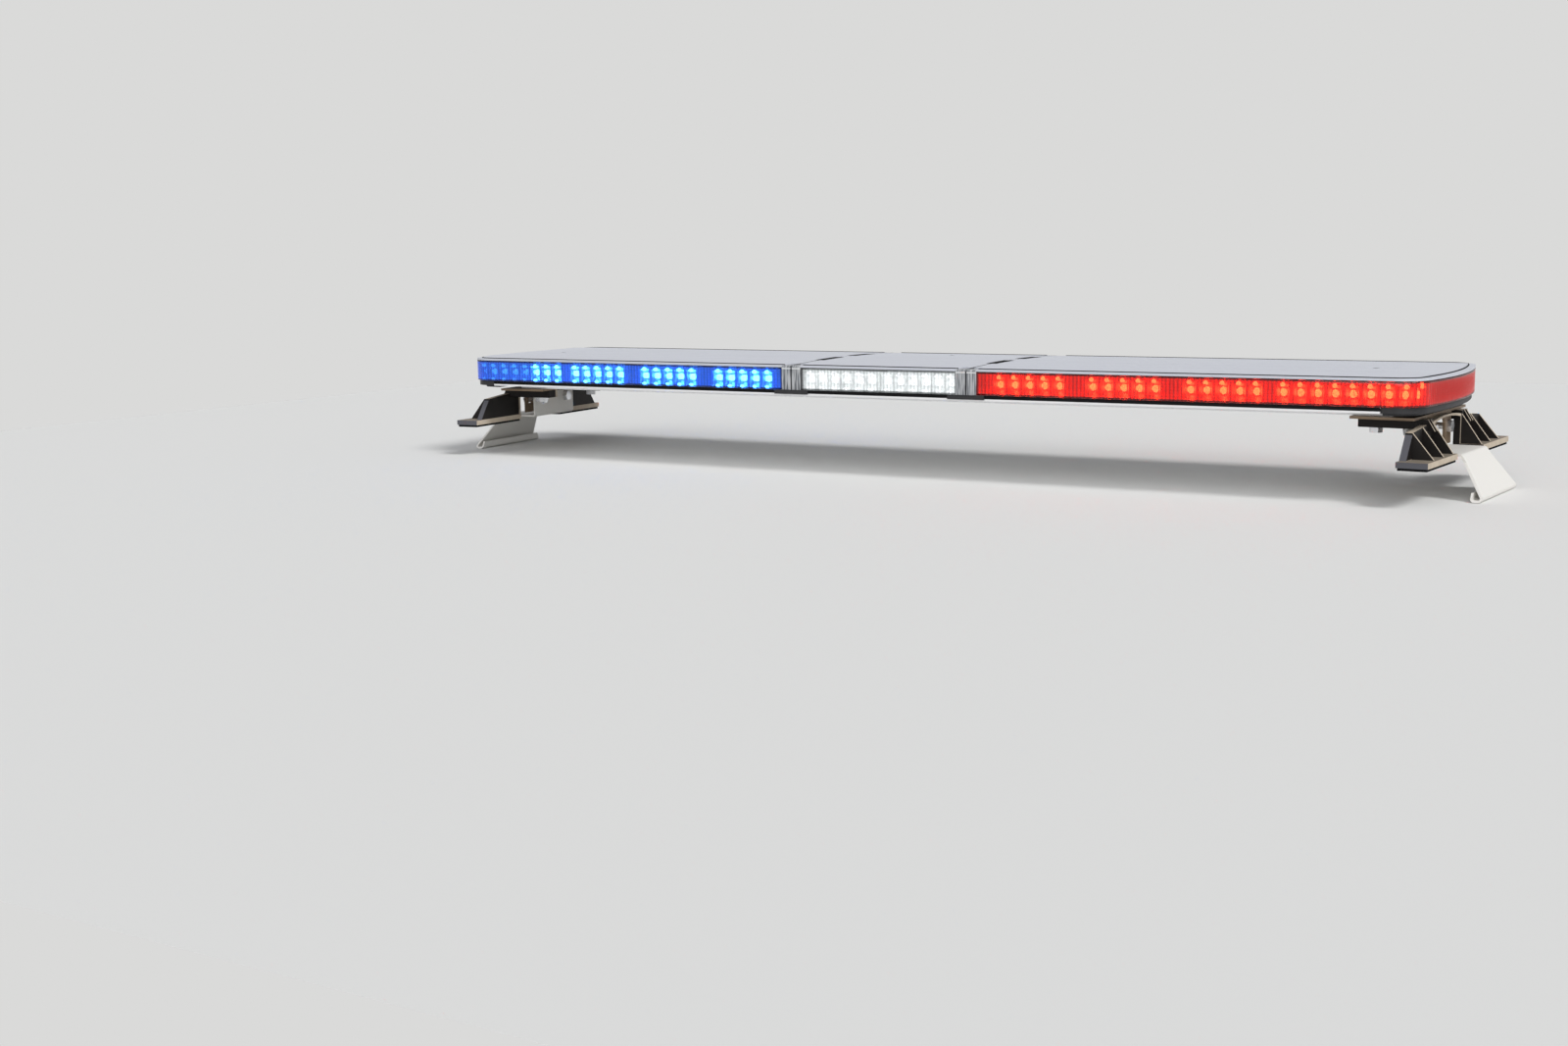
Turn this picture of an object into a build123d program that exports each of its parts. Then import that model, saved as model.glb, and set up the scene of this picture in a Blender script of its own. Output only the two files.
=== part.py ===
from build123d import *
import os
from math import asin, cos, degrees, pi, radians, sin, sqrt, tan

# Roof light bar for a vehicle: a low aluminium base with lenses all round, lamp modules behind them,
# three top covers, and two ribbed feet that slide along the base and are held down by roof straps.
# Millimetres. X runs along the bar, Y towards its rear, Z up. The origin is midway between the feet,
# level with the undersides of their rubber pads.

# Bar, seen from above
BAR_LENGTH = 1372.0
BAR_DEPTH = 290.0
END_BOW = 17.8
CORNER_RADIUS = 34.0
END_TRAY_LENGTH = 59.3
CENTRE_LENGTH = 251.5
BASE_LENGTH = BAR_LENGTH - 2 * END_TRAY_LENGTH

# Bar, heights
LENS_BOTTOM = 67.0
LENS_HEIGHT = 29.0
LENS_WALL = 3.0
LENS_FLANGE_WIDTH = 12.0
LENS_FLANGE_THICKNESS = 2.5
LENS_TOP = LENS_BOTTOM + LENS_HEIGHT

# Top covers
COVER_RIM_THICKNESS = 2.6
COVER_RIM_WIDTH = 7.0
COVER_CHANNEL_WIDTH = 1.4
COVER_CHANNEL_FLOOR = 0.8
COVER_EDGE_RISE = 2.9
COVER_CROWN = 3.0
COVER_END_FALL = 2.6
COVER_END_FALL_LENGTH = 75.0
COVER_GROOVE_WIDTH = 1.4
COVER_GROOVE_DEPTH = 0.6
COVER_GROOVE_PITCH = 26.0
COVER_GROOVE_SIDE_MARGIN = 30.0
COVER_GROOVE_END_MARGIN = 70.0
SCREW_RADIUS = 4.2
SCREW_RECESS = 0.5
SCREW_END_PLACE = 94.0
SCREW_SIDE_PLACE = 25.0
CENTRE_SCREW_SIDE_PLACE = 72.0
COVER_SEAM = 0.4

# Seam slots between covers, filled by the tabs of the rubber dividers
SLOT_WIDTH = 6.0
SLOT_LENGTH = 33.0
SLOT_PLACE = 36.0
SLOT_TAB_RISE = 1.8
DIVIDER_THICKNESS = 2.0
DIVIDER_INSET = 0.4

# Clear bands that join the lenses, and the black latches below them
BAND_WIDTH = 13.0
BAND_PROUD = 0.6
BAND_WALL = 3.6
BAND_TOP_DEPTH = 22.0
BAND_TOP_THICKNESS = 2.4
BAND_CORNER_RADIUS = 2.8
LATCH_WIDTH = 50.0
LATCH_THICKNESS = 2.0
LATCH_HEIGHT = 5.6
LATCH_TONGUE_GAP = 0.2

# Base extrusion
FLOOR_THICKNESS = 3.0
LEDGE_WIDTH = 32.0
LEDGE_HEIGHT = 7.0
LIP_GROOVE_DEPTH = 3.0
LIP_GROOVE_HEIGHT = 3.2
LIP_HEIGHT = 2.4
RAIL_PLACE = 68.0
RAIL_WIDTH = 30.0
RAIL_DROP = 8.0
SLOT_THROAT = 9.0
T_SLOT_WIDTH = 17.0
T_SLOT_HEIGHT = 4.0
T_SLOT_LIP = 3.5
LEDGE_TOP = LENS_BOTTOM
FLOOR_BOTTOM = LEDGE_TOP - LEDGE_HEIGHT
FLOOR_TOP = FLOOR_BOTTOM + FLOOR_THICKNESS
RAIL_BOTTOM = FLOOR_BOTTOM - RAIL_DROP

# End trays
TRAY_INSET = 3.0
TRAY_SKIRT_INSET = 12.0
TRAY_SKIRT_DROP = 3.0
TRAY_POCKET_DEPTH = 6.0
TRAY_POCKET_MARGIN = 8.0
TRAY_POCKET_LENGTH = 22.0
TRAY_POCKET_WIDTH = 26.0
TRAY_POCKET_PITCH = 31.0

# Lamp modules
LED_PITCH = 19.4
LEDS_PER_MODULE = 5
MODULE_PITCH = 120.5
MODULE_GAP = 7.0
BANK_MARGIN = 20.0
CORNER_STRAIGHT_LEAST = 100.0
CORNER_MODULE_TAIL = 10.0
CENTRE_LED_PITCH = 18.0
CENTRE_END_MARGIN = 12.75
MODULE_DEPTH = 20.0
MODULE_HEIGHT = 25.0
MODULE_SETBACK = 8.0
CELL_WIDTH = 16.0
CELL_HEIGHT = 20.0
CELL_DEPTH = 7.0
CELL_FLOOR_WIDTH = 7.0
CELL_FLOOR_HEIGHT = 9.0
EMITTER_SIZE = 4.6
EMITTER_HEIGHT = 1.8
ALLEY_LEDS = 5
ALLEY_LED_PITCH = 20.0

# Feet
FOOT_LENGTH = 325.0
FOOT_GAP = 104.0
FOOT_OVERHANG = 9.6
FOOT_TOE = 4.2
BLOCK_WIDTH = 35.0
PAD_THICKNESS = 3.0
PAD_INSET = 1.5
BLOCK_TOP = 9.5
WEB_THICKNESS = 8.0
WEB_END_MARGIN = 7.0
WEB_SHOULDER_TOP = 44.5
WEB_END_TOP = 38.5
ARCH_SPRING = 42.0
ARCH_FLANGE = 2.5
RIB_THICKNESS = 3.0
RIB_PLACES = (57.5, 94.0, 130.0)
RIB_OUTER_MARGIN = 3.0
FIN_THICKNESS = 2.2
FIN_PLACES = (66.0, 75.0)
FIN_DROP = 13.0
ARM_BOLT_MARGIN = 14.0
ARM_WIDTH = 22.0
ARM_HEIGHT = 11.0

# Cradle, strap and fastenings of a foot
CRADLE_GAP = 0.3
CRADLE_THICKNESS = 3.0
CRADLE_BOLT_MARGIN = 17.0
CRADLE_WIDTH = 200.0
TONGUE_WIDTH = 84.0
TONGUE_GAP = 3.0
WINDOW_WIDTH = 38.0
WINDOW_MARGIN = 4.0
WINDOW_RADIUS = 12.0
STRAP_THICKNESS = 2.5
STRAP_TOP = 8.5
STRAP_SIDE_CLEARANCE = 1.0
STRAP_LOWER_WIDTH = 150.0
STRAP_CLEARANCE = 3.2
STRAP_DROP_OUT = 32.0
STRAP_DROP = 48.0
HOOK_RETURN = 13.0
HOOK_RISE = 9.0
HOOK_RADIUS = 3.0
STRAP_TAIL = 24.0
STRAP_UPTURN = 34.0
BOLT_RADIUS = 4.0
BOLT_CLEARANCE = 0.3
BOLT_SLOT_TRAVEL = 6.0
NUT_RADIUS = 7.5
NUT_HEIGHT = 6.0
T_HEAD_SIZE = 16.0
T_HEAD_HEIGHT = 3.4
RAIL_END_CLEARANCE = 4.0
STRAP_BOLT_PLACE = 31.0
STRAP_BOLT_LEVEL = 32.0
STRAP_BOLT_HEAD = 5.0

JOINT_X = CENTRE_LENGTH / 2
END_RADIUS = ((BAR_DEPTH / 2) ** 2 + END_BOW**2) / (2 * END_BOW)
END_CENTRE = BAR_LENGTH / 2 - END_RADIUS
CORNER_Y = BAR_DEPTH / 2 - CORNER_RADIUS
CORNER_X = END_CENTRE + sqrt((END_RADIUS - CORNER_RADIUS) ** 2 - CORNER_Y**2)
COVER_BOTTOM = LENS_TOP
COVER_EDGE_TOP = COVER_BOTTOM + COVER_EDGE_RISE
COVER_CREST = COVER_EDGE_TOP + COVER_CROWN
CRADLE_TOP = RAIL_BOTTOM - CRADLE_GAP
FOOT_CREST = CRADLE_TOP - CRADLE_THICKNESS
FOOT_OUTER = BAR_LENGTH / 2 + FOOT_OVERHANG
BLOCK_INNER = FOOT_OUTER - BLOCK_WIDTH
WEB_OUTER = BLOCK_INNER + WEB_THICKNESS
RIB_OUTER = FOOT_OUTER - RIB_OUTER_MARGIN
BOLT_SHIFT = RAIL_PLACE * tan(radians(FOOT_TOE))
T_BOLT_X = BASE_LENGTH / 2 - RAIL_END_CLEARANCE - T_HEAD_SIZE / 2 - BOLT_SHIFT
STRAP_WIDTH = FOOT_GAP - 2 * STRAP_SIDE_CLEARANCE
STRAP_BEND = FOOT_OUTER + STRAP_CLEARANCE
STRAP_INNER = BLOCK_INNER - STRAP_TAIL
BOLT_SLOT_WIDTH = 2 * (BOLT_RADIUS + BOLT_CLEARANCE)
BOLT_SLOT_LENGTH = BOLT_SLOT_WIDTH + BOLT_SLOT_TRAVEL
SIDES = {"left": -1, "right": 1}
ENDS = {"front": -1, "rear": 1}

os.makedirs("parts", exist_ok=True)


def save(part, name):
    """Labels a finished piece and writes it."""
    part.label = name
    export_step(part, f"parts/{name}.step")


def bar_outline(inset, x_low=-BAR_LENGTH, x_high=BAR_LENGTH):
    """The bar seen from above, smaller by inset all round, between two planes across it."""
    half_x = BAR_LENGTH / 2 - inset
    half_y = BAR_DEPTH / 2 - inset
    shoulder = END_CENTRE + sqrt((END_RADIUS - inset) ** 2 - half_y**2)
    with BuildSketch() as outline:
        with BuildLine():
            Line((-shoulder, -half_y), (shoulder, -half_y))
            ThreePointArc((shoulder, -half_y), (half_x, 0), (shoulder, half_y))
            Line((shoulder, half_y), (-shoulder, half_y))
            ThreePointArc((-shoulder, half_y), (-half_x, 0), (-shoulder, -half_y))
        make_face()
        fillet(outline.vertices(), CORNER_RADIUS - inset)
        with Locations(((x_low + x_high) / 2, 0)):
            Rectangle(x_high - x_low, BAR_DEPTH, mode=Mode.INTERSECT)
    return outline.sketch


def crown_height(y):
    """Height of the covers' crowned top at a distance y from the bar's middle."""
    half = BAR_DEPTH / 2 - COVER_RIM_WIDTH
    radius = (half**2 + COVER_CROWN**2) / (2 * COVER_CROWN)
    return COVER_CREST - radius + sqrt(radius**2 - y**2)


# Base extrusion: a floor with a raised ledge and a double lip along each side, and two T-slot rails below.
with BuildPart() as base_extrusion:
    with BuildSketch(Plane.YZ):
        with Locations((0, FLOOR_BOTTOM + FLOOR_THICKNESS / 2)):
            Rectangle(BAR_DEPTH, FLOOR_THICKNESS)
        ledge_place = (BAR_DEPTH - LEDGE_WIDTH) / 2
        for side in ENDS.values():
            with Locations((side * ledge_place, FLOOR_BOTTOM + LEDGE_HEIGHT / 2)):
                Rectangle(LEDGE_WIDTH, LEDGE_HEIGHT)
            groove_z = FLOOR_BOTTOM + LIP_HEIGHT + LIP_GROOVE_HEIGHT / 2
            with Locations((side * (BAR_DEPTH - LIP_GROOVE_DEPTH) / 2, groove_z)):
                Rectangle(LIP_GROOVE_DEPTH, LIP_GROOVE_HEIGHT, mode=Mode.SUBTRACT)
            with Locations((side * RAIL_PLACE, RAIL_BOTTOM + RAIL_DROP / 2)):
                Rectangle(RAIL_WIDTH, RAIL_DROP)
            with Locations((side * RAIL_PLACE, RAIL_BOTTOM + T_SLOT_LIP + T_SLOT_HEIGHT / 2)):
                Rectangle(T_SLOT_WIDTH, T_SLOT_HEIGHT, mode=Mode.SUBTRACT)
            with Locations((side * RAIL_PLACE, RAIL_BOTTOM + T_SLOT_LIP / 2)):
                Rectangle(SLOT_THROAT, T_SLOT_LIP, mode=Mode.SUBTRACT)
    extrude(amount=BASE_LENGTH / 2, both=True)
save(base_extrusion.part, "base_extrusion")

# End trays: black mouldings that carry the bar past the extrusion, pocketed below into a grid of ribs.
with BuildPart() as end_tray_right:
    tray_low = BASE_LENGTH / 2
    with BuildSketch(Plane.XY.offset(FLOOR_BOTTOM)):
        add(bar_outline(TRAY_INSET, tray_low, BAR_LENGTH / 2))
    extrude(amount=LEDGE_HEIGHT)
    with BuildSketch(Plane.XY.offset(FLOOR_BOTTOM)):
        add(bar_outline(TRAY_SKIRT_INSET, tray_low, BAR_LENGTH / 2))
    extrude(amount=-TRAY_SKIRT_DROP)
    pocket_x = tray_low + TRAY_POCKET_MARGIN + TRAY_POCKET_LENGTH / 2
    pocket_rows = int((BAR_DEPTH - 2 * CORNER_RADIUS) / TRAY_POCKET_PITCH)
    with BuildSketch(Plane.XY.offset(FLOOR_BOTTOM - TRAY_SKIRT_DROP)):
        with Locations((pocket_x, 0)):
            with GridLocations(0, TRAY_POCKET_PITCH, 1, pocket_rows):
                Rectangle(TRAY_POCKET_LENGTH, TRAY_POCKET_WIDTH)
    extrude(amount=TRAY_POCKET_DEPTH, mode=Mode.SUBTRACT)
save(end_tray_right.part, "end_tray_right")

with BuildPart() as end_tray_left:
    mirror(end_tray_right.part, about=Plane.YZ)
save(end_tray_left.part, "end_tray_left")

# Lenses: a wrap-round lens for each end and a straight clear one on each side of the centre.
lens_end_x = JOINT_X + DIVIDER_THICKNESS / 2 + BAND_WIDTH
with BuildPart() as lens_right:
    with BuildSketch(Plane.XY.offset(LENS_BOTTOM)):
        add(bar_outline(0, lens_end_x, BAR_LENGTH / 2))
        add(bar_outline(LENS_WALL, lens_end_x, BAR_LENGTH / 2), mode=Mode.SUBTRACT)
    extrude(amount=LENS_HEIGHT)
    with BuildSketch(Plane.XY.offset(LENS_TOP)):
        add(bar_outline(LENS_WALL, lens_end_x, BAR_LENGTH / 2))
        add(bar_outline(LENS_FLANGE_WIDTH, lens_end_x, BAR_LENGTH / 2), mode=Mode.SUBTRACT)
    extrude(amount=-LENS_FLANGE_THICKNESS)
save(lens_right.part, "lens_right")

with BuildPart() as lens_left:
    mirror(lens_right.part, about=Plane.YZ)
save(lens_left.part, "lens_left")

centre_lens_half = JOINT_X - DIVIDER_THICKNESS / 2 - BAND_WIDTH
for end, side in ENDS.items():
    with BuildPart() as lens_centre:
        wall_y = side * (BAR_DEPTH - LENS_WALL) / 2
        with Locations((0, wall_y, LENS_BOTTOM + LENS_HEIGHT / 2)):
            Box(2 * centre_lens_half, LENS_WALL, LENS_HEIGHT)
        flange_depth = LENS_FLANGE_WIDTH - LENS_WALL
        flange_y = side * (BAR_DEPTH / 2 - LENS_WALL - flange_depth / 2)
        with Locations((0, flange_y, LENS_TOP - LENS_FLANGE_THICKNESS / 2)):
            Box(2 * centre_lens_half, flange_depth, LENS_FLANGE_THICKNESS)
    save(lens_centre.part, f"lens_centre_{end}")

# Dividers: rubber bulkheads between the end and centre compartments, with tabs up into the seam slots.
for name, side in SIDES.items():
    with BuildPart() as divider:
        with BuildSketch(Plane.YZ.offset(side * JOINT_X)):
            with Locations((0, (LENS_TOP + LEDGE_TOP) / 2)):
                Rectangle(BAR_DEPTH - 2 * DIVIDER_INSET, LENS_HEIGHT)
            with Locations((0, (LEDGE_TOP + FLOOR_TOP) / 2)):
                Rectangle(BAR_DEPTH - 2 * LEDGE_WIDTH, LEDGE_TOP - FLOOR_TOP)
        extrude(amount=DIVIDER_THICKNESS / 2, both=True)
        with Locations((side * JOINT_X, 0, LENS_TOP + SLOT_TAB_RISE / 2)):
            with GridLocations(0, 2 * SLOT_PLACE, 1, 2):
                Box(SLOT_WIDTH, SLOT_LENGTH, SLOT_TAB_RISE)
    save(divider.part, f"divider_{name}")

# Joint bands: an L of clear moulding each side of a divider, from the lens up over the cover's edge.
for name, side in SIDES.items():
    for end, front in ENDS.items():
        with BuildPart() as joint_band:
            outer_y = front * (BAR_DEPTH / 2 + BAND_PROUD)
            top_z = LENS_TOP + BAND_TOP_THICKNESS
            for step in (-1, 1):
                band_start = side * JOINT_X + step * DIVIDER_THICKNESS / 2
                with BuildSketch(Plane.YZ.offset(band_start)):
                    with BuildLine():
                        wall_y = outer_y - front * BAND_WALL
                        lip_y = outer_y - front * (BAND_TOP_DEPTH + BAND_PROUD)
                        FilletPolyline(
                            (outer_y, LENS_BOTTOM),
                            (outer_y, top_z),
                            (lip_y, top_z),
                            radius=BAND_CORNER_RADIUS,
                        )
                        Polyline(
                            (lip_y, top_z),
                            (lip_y, LENS_TOP),
                            (wall_y, LENS_TOP),
                            (wall_y, LENS_BOTTOM),
                            (outer_y, LENS_BOTTOM),
                        )
                    make_face()
                extrude(amount=step * BAND_WIDTH)
        save(joint_band.part, f"joint_band_{name}_{end}")

# Latches: black clips under each joint, with a tongue that grips the groove above the base's lip.
for name, side in SIDES.items():
    with BuildPart() as latches:
        for front in ENDS.values():
            face_y = front * (BAR_DEPTH + LATCH_THICKNESS) / 2
            with Locations((side * JOINT_X, face_y, LEDGE_TOP - LATCH_HEIGHT / 2)):
                Box(LATCH_WIDTH, LATCH_THICKNESS, LATCH_HEIGHT)
            tongue_y = front * (BAR_DEPTH - LIP_GROOVE_DEPTH + LATCH_TONGUE_GAP) / 2
            tongue_z = FLOOR_BOTTOM + LIP_HEIGHT + LIP_GROOVE_HEIGHT / 2
            with Locations((side * JOINT_X, tongue_y, tongue_z)):
                Box(
                    LATCH_WIDTH,
                    LIP_GROOVE_DEPTH - LATCH_TONGUE_GAP,
                    LIP_GROOVE_HEIGHT - 2 * LATCH_TONGUE_GAP,
                )
    save(latches.part, f"latches_{name}")

# Top covers: crowned grooved panels inside a rolled rim, notched for the bands and the seam slots.
cover_spans = {
    "left": (-BAR_LENGTH / 2, -JOINT_X - COVER_SEAM / 2),
    "centre": (-JOINT_X + COVER_SEAM / 2, JOINT_X - COVER_SEAM / 2),
    "right": (JOINT_X + COVER_SEAM / 2, BAR_LENGTH / 2),
}
screw_x = BAR_LENGTH / 2 - SCREW_END_PLACE
cover_screws = {
    "left": (-screw_x, -SCREW_SIDE_PLACE),
    "centre": (0, CENTRE_SCREW_SIDE_PLACE),
    "right": (screw_x, -SCREW_SIDE_PLACE),
}
for name, (x_low, x_high) in cover_spans.items():
    with BuildPart() as cover:
        panel_inset = COVER_RIM_WIDTH + COVER_CHANNEL_WIDTH
        with BuildSketch(Plane.XY.offset(COVER_BOTTOM)):
            add(bar_outline(panel_inset, x_low, x_high))
        extrude(amount=COVER_EDGE_RISE + COVER_CROWN)
        with BuildSketch(Plane.YZ):
            crown_half = BAR_DEPTH / 2 - COVER_RIM_WIDTH
            with BuildLine():
                ThreePointArc((-crown_half, COVER_EDGE_TOP), (0, COVER_CREST), (crown_half, COVER_EDGE_TOP))
                Polyline(
                    (crown_half, COVER_EDGE_TOP),
                    (crown_half, COVER_BOTTOM),
                    (-crown_half, COVER_BOTTOM),
                    (-crown_half, COVER_EDGE_TOP),
                )
            make_face()
        extrude(amount=BAR_LENGTH / 2, both=True, mode=Mode.INTERSECT)
        with BuildSketch(Plane.XZ):
            end_x = BAR_LENGTH / 2
            fall_x = end_x - COVER_END_FALL_LENGTH
            fall_radius = COVER_END_FALL_LENGTH**2 / (2 * COVER_END_FALL)
            with BuildLine():
                Line((-fall_x, COVER_CREST), (fall_x, COVER_CREST))
                RadiusArc((fall_x, COVER_CREST), (end_x, COVER_CREST - COVER_END_FALL), fall_radius)
                Polyline(
                    (end_x, COVER_CREST - COVER_END_FALL),
                    (end_x, COVER_BOTTOM),
                    (-end_x, COVER_BOTTOM),
                    (-end_x, COVER_CREST - COVER_END_FALL),
                )
                RadiusArc((-end_x, COVER_CREST - COVER_END_FALL), (-fall_x, COVER_CREST), fall_radius)
            make_face()
        extrude(amount=BAR_DEPTH / 2, both=True, mode=Mode.INTERSECT)
        groove_low = max(x_low, -BAR_LENGTH / 2 + COVER_GROOVE_END_MARGIN)
        groove_high = min(x_high, BAR_LENGTH / 2 - COVER_GROOVE_END_MARGIN)
        groove_side = int((BAR_DEPTH / 2 - COVER_GROOVE_SIDE_MARGIN) / COVER_GROOVE_PITCH)
        for number in range(-groove_side, groove_side + 1):
            groove_y = number * COVER_GROOVE_PITCH
            groove_z = crown_height(groove_y) - COVER_GROOVE_DEPTH
            with Locations(((groove_low + groove_high) / 2, groove_y, groove_z)):
                Box(
                    groove_high - groove_low,
                    COVER_GROOVE_WIDTH,
                    COVER_CROWN,
                    align=(Align.CENTER, Align.CENTER, Align.MIN),
                    mode=Mode.SUBTRACT,
                )
        with BuildSketch(Plane.XY.offset(COVER_BOTTOM)):
            add(bar_outline(0, x_low, x_high))
        extrude(amount=COVER_CHANNEL_FLOOR)
        with BuildSketch(Plane.XY.offset(COVER_BOTTOM)):
            add(bar_outline(0, x_low, x_high))
            add(bar_outline(COVER_RIM_WIDTH, x_low, x_high), mode=Mode.SUBTRACT)
        extrude(amount=COVER_RIM_THICKNESS)
        screw_place, screw_side = cover_screws[name]
        with Locations((screw_place, screw_side, crown_height(screw_side) - SCREW_RECESS)):
            Cylinder(
                SCREW_RADIUS,
                COVER_CROWN,
                align=(Align.CENTER, Align.CENTER, Align.MIN),
                mode=Mode.SUBTRACT,
            )
        for side in SIDES.values():
            notch_half = DIVIDER_THICKNESS / 2 + BAND_WIDTH
            for front in ENDS.values():
                notch_y = front * (BAR_DEPTH - BAND_TOP_DEPTH) / 2
                with Locations((side * JOINT_X, notch_y, COVER_BOTTOM)):
                    Box(
                        2 * notch_half,
                        BAND_TOP_DEPTH,
                        2 * (COVER_EDGE_RISE + COVER_CROWN),
                        mode=Mode.SUBTRACT,
                    )
                with Locations((side * JOINT_X, front * SLOT_PLACE, COVER_BOTTOM)):
                    Box(
                        SLOT_WIDTH,
                        SLOT_LENGTH,
                        2 * (COVER_EDGE_RISE + COVER_CROWN),
                        mode=Mode.SUBTRACT,
                    )
    save(cover.part, f"cover_{name}")


def cut_cells(pitch, count):
    """Sinks a row of tapered reflector cells into a lamp module's face and stands an emitter in each.

    The face is at the working locations, which have Y into the module.
    """
    floor_low_x = (CELL_WIDTH - CELL_FLOOR_WIDTH) / 2
    floor_low_z = (CELL_HEIGHT - CELL_FLOOR_HEIGHT) / 2
    seat = (Align.CENTER, Align.MIN, Align.CENTER)
    with GridLocations(pitch, 0, count, 1):
        Wedge(
            CELL_WIDTH,
            CELL_DEPTH,
            CELL_HEIGHT,
            floor_low_x,
            floor_low_z,
            floor_low_x + CELL_FLOOR_WIDTH,
            floor_low_z + CELL_FLOOR_HEIGHT,
            align=seat,
            mode=Mode.SUBTRACT,
        )
        with Locations((0, CELL_DEPTH - EMITTER_HEIGHT, 0)):
            Box(EMITTER_SIZE, EMITTER_HEIGHT, EMITTER_SIZE, align=seat)


module_z = LEDGE_TOP + MODULE_HEIGHT / 2
face_y = BAR_DEPTH / 2 - MODULE_SETBACK
face_turn = {"front": 0, "rear": 180}
bank_start = JOINT_X + BANK_MARGIN
module_count = int((CORNER_X - CORNER_STRAIGHT_LEAST - bank_start) / MODULE_PITCH)

# Straight lamp modules: a row of tapered cells along each half of the front and rear.
for name, side in SIDES.items():
    for end, front in ENDS.items():
        with BuildPart() as lamp_bank:
            for number in range(module_count):
                x = side * (bank_start + (number + 0.5) * MODULE_PITCH)
                with Locations(Location((x, front * face_y, module_z), (0, 0, face_turn[end]))):
                    Box(
                        MODULE_PITCH - MODULE_GAP,
                        MODULE_DEPTH,
                        MODULE_HEIGHT,
                        align=(Align.CENTER, Align.MIN, Align.CENTER),
                    )
                    cut_cells(LED_PITCH, LEDS_PER_MODULE)
        save(lamp_bank.part, f"lamp_bank_{name}_{end}")

# Centre lamp modules: two side by side behind each clear lens.
centre_module_pitch = JOINT_X - CENTRE_END_MARGIN
centre_leds = int((centre_module_pitch - MODULE_GAP / 2) / CENTRE_LED_PITCH)
for end, front in ENDS.items():
    with BuildPart() as lamp_centre:
        for side in SIDES.values():
            x = side * centre_module_pitch / 2
            with Locations(Location((x, front * face_y, module_z), (0, 0, face_turn[end]))):
                Box(
                    centre_module_pitch - MODULE_GAP / 2,
                    MODULE_DEPTH,
                    MODULE_HEIGHT,
                    align=(Align.CENTER, Align.MIN, Align.CENTER),
                )
                cut_cells(CENTRE_LED_PITCH, centre_leds)
    save(lamp_centre.part, f"lamp_centre_{end}")

# Corner lamp modules: a row of cells that runs along the side and turns round the corner of the bar.
corner_start = bank_start + module_count * MODULE_PITCH
corner_face_radius = CORNER_RADIUS - MODULE_SETBACK
corner_sweep = pi / 2 - asin(CORNER_Y / (END_RADIUS - CORNER_RADIUS))
corner_face_length = CORNER_X - corner_start + corner_face_radius * corner_sweep
corner_leds = int(corner_face_length / LED_PITCH + 0.5)


def corner_place(distance):
    """Point on a corner module's face, a distance along it from the module's start, and its turn."""
    turn = max(0, (distance - (CORNER_X - corner_start)) / corner_face_radius)
    if turn == 0:
        return (corner_start + distance, -CORNER_Y - corner_face_radius), turn
    turned_x = CORNER_X + corner_face_radius * sin(turn)
    return (turned_x, -CORNER_Y - corner_face_radius * cos(turn)), turn


with BuildPart() as lamp_corner_right_front:
    with BuildSketch(Plane.XY.offset(LEDGE_TOP)):
        add(bar_outline(MODULE_SETBACK, corner_start, BAR_LENGTH / 2))
        add(bar_outline(MODULE_SETBACK + MODULE_DEPTH, corner_start, BAR_LENGTH / 2), mode=Mode.SUBTRACT)
        with Locations((corner_start, CORNER_MODULE_TAIL - CORNER_Y)):
            Rectangle(BAR_LENGTH / 2, BAR_DEPTH, align=(Align.MIN, Align.MAX), mode=Mode.INTERSECT)
    extrude(amount=MODULE_HEIGHT)
    for number in range(corner_leds):
        (x, y), turn = corner_place((number + 0.5) * LED_PITCH)
        with Locations(Location((x, y, module_z), (0, 0, degrees(turn)))):
            cut_cells(0, 1)
save(lamp_corner_right_front.part, "lamp_corner_right_front")

with BuildPart() as lamp_corner_left_front:
    mirror(lamp_corner_right_front.part, about=Plane.YZ)
save(lamp_corner_left_front.part, "lamp_corner_left_front")

for name, corner in (("right", lamp_corner_right_front), ("left", lamp_corner_left_front)):
    with BuildPart() as lamp_corner_rear:
        mirror(corner.part, about=Plane.XZ)
    save(lamp_corner_rear.part, f"lamp_corner_{name}_rear")

# Alley lamps: a straight module behind each end lens, shining sideways.
for name, side in SIDES.items():
    with BuildPart() as lamp_alley:
        face_x = side * (BAR_LENGTH / 2 - MODULE_SETBACK)
        with Locations(Location((face_x, 0, module_z), (0, 0, side * 90))):
            Box(
                (ALLEY_LEDS + 0.5) * ALLEY_LED_PITCH,
                MODULE_DEPTH,
                MODULE_HEIGHT,
                align=(Align.CENTER, Align.MIN, Align.CENTER),
            )
            cut_cells(ALLEY_LED_PITCH, ALLEY_LEDS)
    save(lamp_alley.part, f"lamp_alley_{name}")

# Foot: two blocks on the roof joined by an upright web that arches over the strap, with triangular ribs
# from the web down to the blocks and two arms that reach in under the rails.
block_length = (FOOT_LENGTH - FOOT_GAP) / 2
block_place = (FOOT_GAP + block_length) / 2
rail_bolt_places = [(T_BOLT_X + front * BOLT_SHIFT, front * RAIL_PLACE) for front in ENDS.values()]


def web_top(y):
    """Height of the web's top edge outside the arch, where it falls straight to the last rib."""
    fall = (abs(y) - RIB_PLACES[0]) / (RIB_PLACES[-1] - RIB_PLACES[0])
    return WEB_SHOULDER_TOP + fall * (WEB_END_TOP - WEB_SHOULDER_TOP)


def rib_outline(low, top):
    """Outline of a rib that ends at a height on the web, from a lower height, for a sketch on Plane.XZ."""
    slope = (RIB_OUTER - WEB_OUTER) / (top - BLOCK_TOP)
    return Polygon(
        (BLOCK_INNER, low),
        (WEB_OUTER + slope * (top - low), low),
        (WEB_OUTER, top),
        (BLOCK_INNER, top),
        align=None,
    )


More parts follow.
